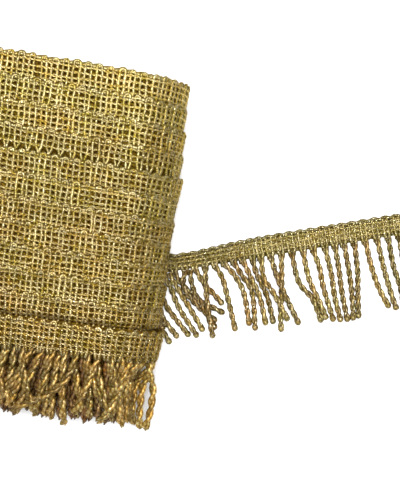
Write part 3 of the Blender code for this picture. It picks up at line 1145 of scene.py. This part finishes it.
    def back_edges(self, rng: np.random.Generator) -> bpy.types.Object:
        """Build the scalloped edges of the inner turns at the back, each a cord on the stepped ground.

        A cord's depth waves with the scallops, and its inset with slow sines.

        Args:
            rng: Where the unevenness comes from.

        Returns:
            The piece.
        """
        first, strands = self.rows[0], Strands()
        insets, depths = np.array(self.back_turns[::-1]).T
        distance = np.linspace(0.0, OVAL.length(), 4 * self.scallops + 1)
        share = distance / OVAL.length()
        for inset in self.edge_insets:
            phases = rng.uniform(0, 2 * math.pi, size=4)
            place = inset + self.edge_change * waves(share, self.edge_cycles, phases)
            scallop = self.edge_scallop * np.cos(2 * math.pi * self.scallops * share + phases[0])
            depth = np.interp(inset, insets, depths) + self.edge_sink + scallop
            points, _ = first.place(distance, 0.0, 0.0)
            flat, _ = OVAL.at(distance, np.minimum(place, self.most_inset) * MM)
            lines = np.stack((flat[:, 0], points[:, 1] - depth * MM, flat[:, 1]), axis=-1)
            ups = np.broadcast_to(np.array((0.0, 1.0, 0.0)), lines.shape)
            radius = np.full((1, 1), rng.uniform(*self.edge_radii))
            tint = rng.uniform(*self.edge_tones, size=1)
            strands.add(lines[None], ups[None], radius, HEADER.leg_sides, tint)
        return strands.finish("back_edges", WOUND_YARN, Slot.WOUND)

    def build(self) -> None:
        """Build the ground, every row's net and the inner turns' edges."""
        rng = np.random.default_rng(self.seed)
        self.ground()
        for number, row in enumerate(self.rows):
            self.net(number, row, rng)
        self.back_edges(rng)


# The cords


@dataclass(frozen=True)
class TwistedCord:
    """A cord of two plies that circle each other, with a rounded looped end."""

    diameter: float = 3.15 * MM
    ply_share: float = 0.57
    lay_length: float = 8.6 * MM
    root_gap: float = 1.5 * MM
    root_run: float = 2.4 * MM
    tip_run: float = 1.1 * MM
    tip_closing: float = 0.4
    tip_swell: float = 0.12
    swell_runs: float = 3.2
    least_share: float = 0.25
    tones: Reach = (0.58, 1.18)
    ply_fade: float = 0.60
    # A painted shade near the root, at the header's edge: the tone there, and how far it runs.
    root_shade: float = 0.7
    shaded_run: float = 4.0 * MM
    knob_radius: float = 1.62 * MM
    knob_run: float = 3.6 * MM
    knob_rings: int = 8
    knob_cut: float = 0.97
    knob_back: float = 0.40

    def knobs(self, strands: Strands, routes: Array, ups: Array, sides: int, tints: Array) -> None:
        """Add each cord's looped end: the knob's radius times the square root of 1 minus its share squared.

        Args:
            strands: Where to add them.
            routes: The cords' centrelines, shaped (cords, stations, 3).
            ups: A direction away from what they lie on, of the same shape.
            sides: How many sides a knob has.
            tints: Each knob's tint.
        """
        share = np.sin(np.linspace(-0.5, 0.5, self.knob_rings) * math.pi * self.knob_cut)
        heading = unit(routes[:, -1] - routes[:, -3])
        past = (0.5 * share - self.knob_back)[None, :, None] * self.knob_run
        lines = routes[:, -1:] + heading[:, None] * past
        radii = self.knob_radius * np.sqrt(1 - share**2)[None]
        strands.add(lines, np.broadcast_to(ups[:, -1:], lines.shape), radii, sides, tints)

    def lay_up(
        self, strands: Strands, routes: Array, ups: Array, lay: Lay, sides: int, rng: np.random.Generator
    ) -> Array:
        """Add both plies of each cord: a ply's centre is the route plus its offset, turned about it.

        The offset is half the diameter minus the ply's radius, and the turn is 2 pi times the way run
        over the lay length. Over the tip's run the ply thins by a quarter circle and closes in. Near the root
        the cord is darker, a painted shade at the header's edge.

        Args:
            strands: Where to add them.
            routes: The cords' centrelines, shaped (cords, stations, 3).
            ups: A direction away from what they lie on, of the same shape.
            lay: Which way the plies turn.
            sides: How many sides a ply has.
            rng: Where the tints come from.

        Returns:
            The cords' tints.
        """
        run = travelled(routes)
        side, up = square_to(routes, ups)
        radius = self.diameter / 2 * self.ply_share
        offset = self.diameter / 2 - radius
        opened = offset + (self.root_gap / 2 - offset) * (1 - ease(run, 0.0, self.root_run))
        left = (run[:, -1:] - run) / self.tip_run
        rounding = np.sqrt(1 - (1 - np.clip(left, 0.0, 1.0)) ** 2)
        swell = np.sin(math.pi * np.clip(left / self.swell_runs, 0.0, 1.0))
        closing = (1 - self.tip_closing * (1 - rounding)) * (1 + self.tip_swell * swell)
        radii = radius * np.maximum(rounding, self.least_share)
        past_root = np.maximum(run - 0.5 * self.root_run, 0.0)
        tints = rng.uniform(*self.tones, size=len(routes))
        toned = tints[:, None] * (self.root_shade + (1 - self.root_shade) * ease(run, 0.0, self.shaded_run))
        for ply, fade in enumerate((1.0, self.ply_fade)):
            turn = lay.value * 2 * math.pi * past_root / self.lay_length + ply * math.pi
            out = np.cos(turn)[..., None] * side + np.sin(turn)[..., None] * up
            lines = routes + (opened * closing)[..., None] * out
            strands.add(lines, up, radii, sides, toned * fade)
        return tints


CORD = TwistedCord()
END_CORD = TwistedCord(
    diameter=4.0 * MM,
    ply_share=0.56,
    lay_length=12.5 * MM,
    tones=(0.72, 1.18),
    ply_fade=0.60,
    root_shade=0.50,
    shaded_run=5 * MM,
)


@dataclass(frozen=True)
class Drape:
    """How the fringe past the front end sinks, sways and parts."""

    reach: float = 37.5 * MM
    droop: float = 0.30
    sway: float = 1.2 * MM
    sway_length: float = 62 * MM
    sway_slant: float = 0.6
    outer_run: Reach = (76.6 * MM, 79.6 * MM)
    outer_swing: float = 3.2 * MM
    outer_shift: float = 2.0 * MM
    inner_run: Reach = (60 * MM, 76 * MM)
    inner_swing: float = 5.6 * MM
    parting_run: Reach = (1 * MM, 15 * MM)
    closing: float = 0.5
    closing_run: Reach = (26 * MM, 38 * MM)
    left_spread: float = 1.5 * MM

    def move(self, points: Array, run: Array) -> Array:
        """Move points: they sink and sway with the square of the run, and part at the right side.

        At the right the outermost cords swing out and the others in, so that the floor shows between them.

        Args:
            points: The points before they are moved.
            run: How far along the cords they lie.

        Returns:
            The moved points.
        """
        bend = (run / self.reach) ** 2
        x, y, z = np.moveaxis(points, -1, 0)
        sway = self.sway * np.sin(2 * math.pi * (x + self.sway_slant * z) / self.sway_length)
        outer = ease(x, *self.outer_run)
        swing = self.outer_swing * outer - self.inner_swing * (1 - outer) * ease(x, *self.inner_run)
        opened = ease(run, *self.parting_run) * (1 - self.closing * ease(run, *self.closing_run))
        leftwards = self.left_spread * ease(-x, 0.0, OVAL.half_width)
        moved = x + swing * opened + self.outer_shift * outer + (sway - leftwards) * bend
        return np.stack((moved, y, z * (1.0 - self.droop * bend)), axis=-1)


DRAPE = Drape()


@dataclass(frozen=True)
class Stray:
    """A cord that leans its own way, with its lengths in mm.

    Its root is the nearest on top to a place along X, it leans round the oval by a way times a power of
    the share run, and its lift takes it over the others.
    """

    place: float
    way: float
    power: float
    lift: float


@dataclass(frozen=True)
class FringeLayer:
    """One layer of cords past the bundle's front end."""

    name: str
    count: int
    inset: float
    reach: float
    ragged: float
    wander: float
    offset: float = 0.0
    replaces: tuple[str, ...] = ()
    sides: int = 5
    steps: int = 26
    parting: float = 1.0
    finish: YarnFinish = FRINGE_YARN
    strays: tuple[Stray, ...] = ()
    slip: float = 0.14
    # The partings' places along X are in mm, and their leans are shares of the reach.
    partings_at: tuple[float, ...] = (-83, -60, -40, -20, 0, 14, 28, 36, 44, 52, 62, 72, 82)
    partings: tuple[float, ...] = (
        0.0, 0.16, -0.16, -0.30, 0.22, 0.36, 0.32, 0.10, -0.18, -0.42, -0.46, -0.22, 0.0,
    )
    top_run: Reach = (0.0, 0.6)
    lean_power: float = 1.3
    bow: float = 0.6
    rise: float = 1.3 * MM
    rise_run: Reach = (0.05, 0.5)
    stray_run: Reach = (0.1, 0.5)
    least_up: float = 0.2
    sink: float = 1.4 * MM
    curl: float = 0.012 / MM
    most_curled: float = 0.85
    tuck: float = 0.6 * MM
    clearance: float = 0.15 * MM

    def build(self, edge: WoundRow, rng: np.random.Generator) -> bpy.types.Object:
        """Build the layer: cords leave the oval at even distances and wander along smooth curves.

        A cord's place round the oval moves by its own lean and bow times the share run, and its depth
        by a lift of its own, before the whole is draped. The leans follow the partings on top. Strays
        lean their own way with a power of the share run, and lie over the others.

        Args:
            edge: The row whose lower edge the cords leave.
            rng: Where the unevenness comes from.

        Returns:
            The piece.
        """
        slips = rng.uniform(-self.slip, self.slip, self.count) + self.offset
        start = (np.arange(self.count) + slips) / self.count * OVAL.length()
        reach = self.reach * (1 - self.ragged * rng.uniform(size=self.count))
        share = np.linspace(0.0, 1.0, self.steps + 1)
        run = reach[:, None] * share
        root, facing = OVAL.at(start, self.inset)
        fan = np.interp(root[:, 0] / MM, self.partings_at, self.partings) * ease(facing[:, 1], *self.top_run)
        fan = fan * self.reach * self.parting
        lean = fan[:, None] + rng.normal(size=(self.count, 1)) * self.wander
        bow = rng.normal(size=(self.count, 1)) * self.wander * self.bow
        distance = start[:, None] + lean * share**self.lean_power + bow * np.sin(math.pi * share)
        rise = rng.uniform(-self.rise, self.rise, size=(self.count, 1)) * ease(share, *self.rise_run)
        for stray in self.strays:
            underneath = facing[:, 1] < self.least_up
            pick = int(np.argmin(np.abs(root[:, 0] - stray.place * MM) + underneath))
            distance[pick] = start[pick] + stray.way * MM * share**stray.power
            rise[pick] = stray.lift * MM * ease(share, *self.stray_run)
        flat, normal = OVAL.at(distance, self.inset + self.sink - rise)
        base, _ = edge.place(distance, np.full_like(run, edge.height), 0.0)
        points = DRAPE.move(np.stack((flat[..., 0], base[..., 1], flat[..., 1]), axis=-1), run)
        curl = np.clip(1 - self.curl * np.abs(lean), self.most_curled, 1.0)
        points[..., 1] -= (run - self.tuck) * curl
        points[..., 2] = np.maximum(points[..., 2], END_CORD.diameter / 2 + self.clearance)
        ups = np.stack((normal[..., 0], np.zeros_like(run), normal[..., 1]), axis=-1)
        strands = Strands()
        END_CORD.lay_up(strands, points, ups, Lay.RIGHT, self.sides, rng)
        return strands.finish(self.name, self.finish, Slot.CORD, self.replaces)


@dataclass
class EndFringe:
    """All the fringe past the front end, layer by layer inwards."""

    seed: int = 23
    layers: tuple[FringeLayer, ...] = (
        FringeLayer(
            "end_cords_outer", 72, 0.4 * MM, 38.0 * MM, 0.08, 2.3 * MM, 0.5, ("end_fringe_outer",),
            strays=(
                Stray(45.0, 27.0, 2.4, 2.8),
                Stray(77.0, 24.0, 1.5, 2.2),
                Stray(19.0, -9.0, 1.4, 2.4),
                Stray(58.0, 10.0, 1.3, 2.2),
            ),
        ),
        FringeLayer(
            "end_cords_half_way", 68, 3.0 * MM, 37.0 * MM, 0.18, 2.8 * MM, 0.0, ("end_fringe_inner",),
            parting=0.6,
            strays=(Stray(66.0, -14.0, 1.2, 1.5), Stray(8.0, -12.0, 1.6, 2.0)),
        ),
        *(
            FringeLayer(
                f"end_cords_{name}", count, inset * MM, reach * MM, ragged, wander * MM, offset, (),
                sides, steps, parting, SHADE_YARN,
            )
            for name, count, inset, reach, ragged, wander, offset, sides, steps, parting in (
                ("second", 64, 5.6, 36.5, 0.16, 2.6, 0.4, 5, 20, 0.3),
                ("third", 60, 8.0, 36.0, 0.12, 2.0, 0.1, 4, 18, 0.0),
                ("fourth", 54, 10.4, 36.0, 0.12, 1.6, 0.6, 4, 16, 0.0),
                ("core", 48, 13.2, 36.0, 0.12, 1.4, 0.3, 4, 14, 0.0),
                ("heart", 42, 16.4, 36.0, 0.12, 1.2, 0.8, 4, 14, 0.0),
                ("slit", 36, 19.8, 36.0, 0.12, 1.0, 0.5, 4, 14, 0.0),
            )
        ),
    )

    def build(self, edge: WoundRow) -> None:
        """Build every layer.

        Args:
            edge: The row whose lower edge the cords leave.
        """
        rng = np.random.default_rng(self.seed)
        for layer in self.layers:
            layer.build(edge, rng)


# The loose end

# Each cord of the loose end in mm: its root along the header, then where it has wandered to at three depths,
# and how far it is lifted at each of them over the cords that it crosses.
LOOSE_CORDS = (
    (122.8, (0.2, 14.0), (1.2, 26.5), (2.5, 37.0), (0.0, 0.0, 0.0)),
    (117.5, (0.4, 14.0), (1.6, 26.5), (2.4, 37.0), (0.0, 0.0, 0.0)),
    (112.2, (0.3, 15.0), (2.0, 25.5), (2.2, 37.3), (0.0, 0.0, 0.0)),
    (106.6, (1.1, 16.2), (3.0, 31.0), (4.1, 35.3), (0.0, 0.0, 0.0)),
    (100.7, (0.9, 13.1), (2.9, 24.6), (6.5, 33.8), (0.0, 0.0, 0.0)),
    (95.2, (-0.8, 15.1), (-2.2, 24.0), (-4.0, 36.4), (0.0, 0.0, 0.0)),
    (90.0, (0.2, 16.3), (-0.5, 29.5), (-1.6, 37.0), (0.0, 0.0, 0.0)),
    (85.3, (0.1, 12.6), (-0.25, 24.2), (0.3, 37.2), (0.0, 0.0, 0.0)),
    (80.3, (1.0, 14.6), (0.85, 25.3), (1.9, 36.8), (0.0, 0.0, 0.0)),
    (74.2, (1.8, 10.1), (2.1, 19.4), (4.5, 36.0), (0.0, 0.0, 0.0)),
    (69.2, (0.75, 14.6), (4.4, 28.0), (6.1, 34.5), (0.0, 0.0, 0.0)),
    (63.4, (1.25, 15.2), (6.6, 24.6), (9.3, 35.5), (0.0, 0.0, 0.0)),
    (58.2, (-1.9, 13.5), (-5.0, 29.0), (-6.1, 36.8), (0.0, 0.0, 0.0)),
    (52.9, (1.3, 10.9), (4.2, 22.1), (8.5, 34.8), (3.0, 3.0, 0.2)),
    (48.1, (-0.4, 10.3), (3.4, 19.3), (8.1, 32.0), (0.3, 2.6, 1.8)),
    (43.6, (1.1, 8.8), (4.3, 19.9), (5.3, 32.5), (0.0, 0.0, 0.0)),
    (38.9, (2.7, 10.0), (5.3, 19.8), (6.2, 32.5), (0.0, 0.0, 0.0)),
    (34.2, (2.9, 7.2), (6.6, 16.7), (5.2, 34.2), (0.0, 0.0, 0.0)),
    (29.5, (4.4, 7.5), (7.2, 16.5), (7.4, 31.5), (0.0, 0.0, 0.0)),
    (24.6, (2.7, 7.1), (3.8, 17.4), (5.0, 33.0), (0.0, 0.0, 0.0)),
    (19.9, (-1.5, 11.1), (-2.2, 24.8), (-1.9, 34.5), (3.0, 2.8, 0.2)),
    (14.6, (3.0, 7.9), (7.0, 14.0), (10.9, 19.5), (0.0, 0.0, 0.0)),
    (9.8, (-2.2, 8.5), (3.0, 18.5), (11.2, 27.0), (3.0, 1.2, 0.2)),
    (4.0, (3.4, 7.6), (10.1, 16.0), (21.4, 23.8), (0.0, 0.0, 0.0)),
    (-1.5, (2.7, 8.0), (5.2, 18.6), (12.0, 33.0), (0.0, 0.0, 0.0)),
    (-6.7, (2.8, 11.7), (5.4, 19.0), (13.2, 32.0), (0.0, 0.0, 0.0)),
)
# Further cords that come out from under the bundle and the others, given in the same way.
HIDDEN_CORDS = (
    (1.4, (3.2, 9.0), (7.4, 19.0), (12.4, 30.7), (0.4, 0.9, 0.0)),
    (11.9, (0.2, 10.0), (3.4, 20.0), (8.2, 30.5), (0.0, 1.6, 0.4)),
    (-6.5, (0.2, 10.0), (0.9, 18.0), (1.9, 25.0), (2.6, 2.6, 0.2)),
    (-9.5, (0.6, 12.0), (2.0, 20.0), (3.6, 27.0), (0.0, 0.0, 0.0)),
    (-11.8, (0.8, 12.5), (6.0, 21.5), (12.6, 31.8), (0.0, 0.0, 0.0)),
    (-13.0, (1.2, 16.0), (5.4, 25.5), (9.6, 34.0), (0.0, 0.0, 0.0)),
)


@dataclass
class LooseEnd:
    """The loose end: its header, leaning up beside the bundle, and its cords, level on the floor."""

    origin: tuple[float, float] = (80.6 * MM, -27.2 * MM)
    angle: float = math.radians(16.7)
    end: float = 126.0 * MM
    start: float = -9.0 * MM
    width: float = 11.0 * MM
    hinge: float = 2.0 * MM
    rest: float = 0.95 * MM
    top_edge: float = 10.35 * MM
    lean_at: tuple[float, ...] = (-0.009, -0.003, 0.005, 0.016, 0.028, 0.044, 0.060)
    leans: tuple[float, ...] = (0.0, 9.0, 34.0, 35.0, 24.0, 9.0, 0.0)
    band_steps: int = 260
    band_hem: float = 1.5 * MM
    band_scallop: float = 0.3 * MM
    band_drop: float = 0.25 * MM
    band_drop_scallop: float = 0.35 * MM
    band_shares: tuple[float, ...] = (0.0, 0.33, 0.66, 1.0)
    band_faces: Reach = (0.12 * MM, 0.75 * MM)
    vee: Vee = (8.8 * MM, 11.2 * MM, 1.5 * MM)
    noise_share: float = 0.7
    net_lift: float = 0.15 * MM
    leg_thickness: Reach = (0.72, 1.22)
    leg_thickness_run: Reach = (6.4 * MM, 9.0 * MM)
    leg_tones: Reach = (0.62, 1.15)
    leg_fade: float = 0.32
    leg_fade_run: Reach = (7 * MM, 9.5 * MM)
    arch_drop: float = 0.7 * MM
    arch_drop_run: float = 2.5 * MM
    # Painted shade on the upper edge's cord, where the edge curves away.
    edge_shade_tone: float = 0.42
    edge_wave: float = 0.20 * MM
    edge_thickness: float = 0.95
    edge_rise: float = 0.25 * MM
    edge_lift: float = 0.35 * MM
    edge_steps: int = 8
    chain_tone: float = 1.3
    chain_radius: float = 0.24 * MM
    chain_sides: int = 5
    steps: int = 44
    root_down: float = 0.4
    tip_reach: float = 1.035
    clearance: float = 0.10 * MM
    cord_sides: int = 7
    knob_sides: int = 9
    knob_tone: float = 0.75
    seed: int = 5

    def place(self, station: Array, across: Array, lift: Array | float) -> Laid:
        """Lay places of the loose end on the floor.

        Past the hinge the header turns up by its lean, so across shortens by the cosine of the lean and
        height gains by its sine.

        Args:
            station: How far along the header.
            across: How far above the header's lower edge, along its width.
            lift: How far above its underside.

        Returns:
            The points and the directions away from the floor there.
        """
        station, across, lift = np.broadcast_arrays(station, across, lift)
        lean = np.radians(np.interp(station, self.lean_at, self.leans))
        past = np.maximum(across - self.hinge, 0.0)
        lean_here = lean * ease(across, 0.5 * self.hinge, 1.5 * self.hinge)
        flat_across = across + past * (np.cos(lean) - 1) - lift * np.sin(lean_here)
        height = past * np.sin(lean) + lift * np.cos(lean_here)
        along = np.array((math.cos(self.angle), math.sin(self.angle)))
        back = np.array((-math.sin(self.angle), math.cos(self.angle)))
        flat = np.array(self.origin) + station[..., None] * along + flat_across[..., None] * back
        points = np.concatenate((flat, height[..., None]), axis=-1)
        tilt = -np.sin(lean_here)[..., None] * back
        away = np.concatenate((tilt, np.cos(lean_here)[..., None]), axis=-1)
        return points, away

    def middles(self) -> Array:
        """Give the scallops' middles along the header, which are the roots of the cords.

        Returns:
            The middles, from the bundle outwards.
        """
        return np.sort(np.array([cord[0] for cord in LOOSE_CORDS])) * MM

    def band(self) -> bpy.types.Object:
        """Build the header's ground: a thin closed band, scalloped along both edges by a cosine, whose dark
        finish is painted shade for the holes between the loops.

        Returns:
            The piece.
        """
        middles = self.middles()
        station = np.linspace(self.start, self.end, self.band_steps)
        wave = np.cos(2 * math.pi * np.interp(station, middles, np.arange(len(middles))))
        top = self.width - self.band_hem + self.band_scallop * wave
        low = -self.band_drop - self.band_drop_scallop * wave
        across = np.stack([low + (top - low) * share for share in self.band_shares], axis=1)
        under, over = (self.place(station[:, None], across, lift)[0] for lift in self.band_faces)
        rings = np.concatenate((under[:, ::-1], over), axis=1)[:, ::-1]
        strands = Strands()
        strands.join(rings[None], station[None] / UV_UNIT, 1.0)
        return strands.finish("loose_header_band", SHADED_BAND_YARN, Slot.HEADER, ("tail_header",))

    def net(self, rng: np.random.Generator) -> bpy.types.Object:
        """Build the header's looped legs and chain lines.

        Args:
            rng: Where the unevenness comes from.

        Returns:
            The piece.
        """
        middles = self.middles()
        noise = rng.normal(size=(len(middles), 4)) * self.noise_share
        strands = Strands()

        def lay(along: Array, down: Array, lift: Array) -> Laid:
            """Lay header places on the loose end.

            Args:
                along: Places along the header.
                down: How far below its upper edge.
                lift: Lifts.

            Returns:
                The points and the directions away from the floor.
            """
            return self.place(along, self.top_edge - down, self.rest + self.net_lift + lift)

        along, down, lift = HEADER.legs(middles, self.vee, noise)
        least, most = self.leg_thickness
        thick = least + (most - least) * ease(down[:1], *self.leg_thickness_run)
        lines, ups = lay(along, down + self.arch_drop * (1 - ease(down, 0.0, self.arch_drop_run)), lift)
        tones = rng.uniform(*self.leg_tones, size=(len(lines), 1))
        tones = tones * (1 - self.leg_fade * ease(down, *self.leg_fade_run))
        strands.add(lines, ups, HEADER.leg_radius * thick, HEADER.leg_sides, tones)
        # The upper edge's cord is darker: painted shade where the edge curves away.
        places, down, lift = HEADER.gimp(middles, self.edge_steps)
        down = down + self.edge_wave * (down - HEADER.gimp_down) / HEADER.gimp_wave
        lines, ups = lay(places[None], down[None] - self.edge_rise, lift[None] + self.edge_lift)
        radius = np.full((1, 1), self.edge_thickness * HEADER.gimp_radius)
        strands.add(lines, ups, radius, HEADER.gimp_sides, np.array([self.edge_shade_tone]))
        radius = np.full((1, 1), self.chain_radius)
        for down_at in HEADER.chains_down:
            phase = rng.uniform(0, 2 * math.pi)
            for strand in (0, 1):
                places = HEADER.chain(self.start, self.end, down_at, strand, phase)
                lines, ups = lay(*(values[None] for values in places))
                strands.add(lines, ups, radius, self.chain_sides, np.array([self.chain_tone]))
        return strands.finish("loose_header_net", HEADER_YARN, Slot.HEADER)

    def cords(self, rng: np.random.Generator) -> bpy.types.Object:
        """Build the cords along smooth curves through their knots.

        Args:
            rng: Where the tints come from.

        Returns:
            The piece.
        """
        reaches = (1.0, 1.0, self.tip_reach)
        knots = [
            [(root, -self.root_down, 0.0)]
            + [(root + way, -down * reach, rise) for (way, down), rise, reach in zip(places, rises, reaches)]
            for root, *places, rises in LOOSE_CORDS + HIDDEN_CORDS
        ]
        routes = smooth_routes(np.array(knots) * MM, self.steps)
        height = np.maximum(routes[..., 2], 0.0) + CORD.diameter / 2 + self.clearance
        lines, _ = self.place(routes[..., 0], routes[..., 1], height)
        ups = np.broadcast_to(np.array((0.0, 0.0, 1.0)), lines.shape)
        strands = Strands()
        tints = CORD.lay_up(strands, lines, ups, Lay.RIGHT, self.cord_sides, rng)
        CORD.knobs(strands, lines, ups, self.knob_sides, self.knob_tone * tints)
        return strands.finish("loose_cords", CORD_YARN, Slot.CORD, ("tail_fringe",))

    def build(self) -> None:
        rng = np.random.default_rng(self.seed)
        band, net, cords = self.band(), self.net(rng), self.cords(rng)


# The studio


@dataclass(frozen=True)
class Studio:
    """The camera straight above, a pale floor and soft light."""

    eye: tuple[float, float, float] = (0.096, -0.0138, 0.5)
    roll: float = math.radians(7.5)
    lens: float = 72.0
    sensor: float = 36.0
    clip: Reach = (0.01, 20.0)
    floor_half: float = 3.0
    floor_height: float = -2e-5
    floor_colour: Colour = (0.93, 0.93, 0.93)
    floor_roughness: float = 0.9
    sky: float = 0.30
    # Each lamp's name, place, size and power.
    lamps: tuple[tuple[str, tuple[float, float, float], float, float], ...] = (
        ("overhead", (0.12, 0.06, 1.00), 0.42, 15.0),
        ("key", (-0.10, 0.36, 0.85), 0.14, 3.4),
    )
    lit_place: tuple[float, float, float] = (0.04, -0.02, 0.0)

    def camera(self) -> None:
        """Set the camera over the trim, looking straight down."""
        data = bpy.data.cameras.new("camera")
        data.lens, data.sensor_width = self.lens, self.sensor
        data.clip_start, data.clip_end = self.clip
        camera = bpy.data.objects.new("camera", data)
        camera.location = self.eye
        camera.rotation_euler = (0.0, 0.0, self.roll)
        bpy.context.scene.collection.objects.link(camera)
        bpy.context.scene.camera = camera

    def floor(self) -> None:
        """Lay a pale matt floor just under the trim."""
        mesh = bpy.data.meshes.new("floor")
        corners = [
            (x * self.floor_half, y * self.floor_half, self.floor_height)
            for x, y in ((-1, -1), (1, -1), (1, 1), (-1, 1))
        ]
        mesh.from_pydata(corners, [], [(0, 1, 2, 3)])
        material = bpy.data.materials.new("floor_white")
        material.use_nodes = True
        shader = material.node_tree.nodes["Principled BSDF"]
        shader.inputs["Base Color"].default_value = (*self.floor_colour, 1.0)
        shader.inputs["Roughness"].default_value = self.floor_roughness
        shader.inputs["Specular IOR Level"].default_value = 0.0
        mesh.materials.append(material)
        floor = bpy.data.objects.new("floor", mesh)
        bpy.context.scene.collection.objects.link(floor)

    def lights(self) -> None:
        """Light the trim with a dim white sky, a soft box overhead and a small key from the upper left."""
        world = bpy.data.worlds.new("studio")
        world.use_nodes = True
        sky = world.node_tree.nodes["Background"]
        sky.inputs["Color"].default_value = (1.0, 1.0, 1.0, 1.0)
        sky.inputs["Strength"].default_value = self.sky
        bpy.context.scene.world = world
        for name, place, size, watts in self.lamps:
            data = bpy.data.lights.new(name, "AREA")
            data.size, data.energy = size, watts
            light = bpy.data.objects.new(name, data)
            light.location = place
            x, y, z = np.array(self.lit_place) - np.array(place)
            light.rotation_euler = (math.atan2(math.hypot(x, y), -z), 0.0, math.atan2(y, x) - math.pi / 2)
            bpy.context.scene.collection.objects.link(light)

    def build(self) -> None:
        """Set the camera, the floor, the lights and the plain view of colours."""
        self.camera()
        self.floor()
        self.lights()
        bpy.context.scene.view_settings.view_transform = "Standard"


def main() -> None:
    """Dress the part."""
    logging.basicConfig(level=logging.INFO, format="%(name)s %(message)s")
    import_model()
    bundle = WoundBundle()
    bundle.build()
    EndFringe().build(bundle.rows[-1])
    LooseEnd().build()
    Studio().build()


if __name__ == "__main__":
    main()
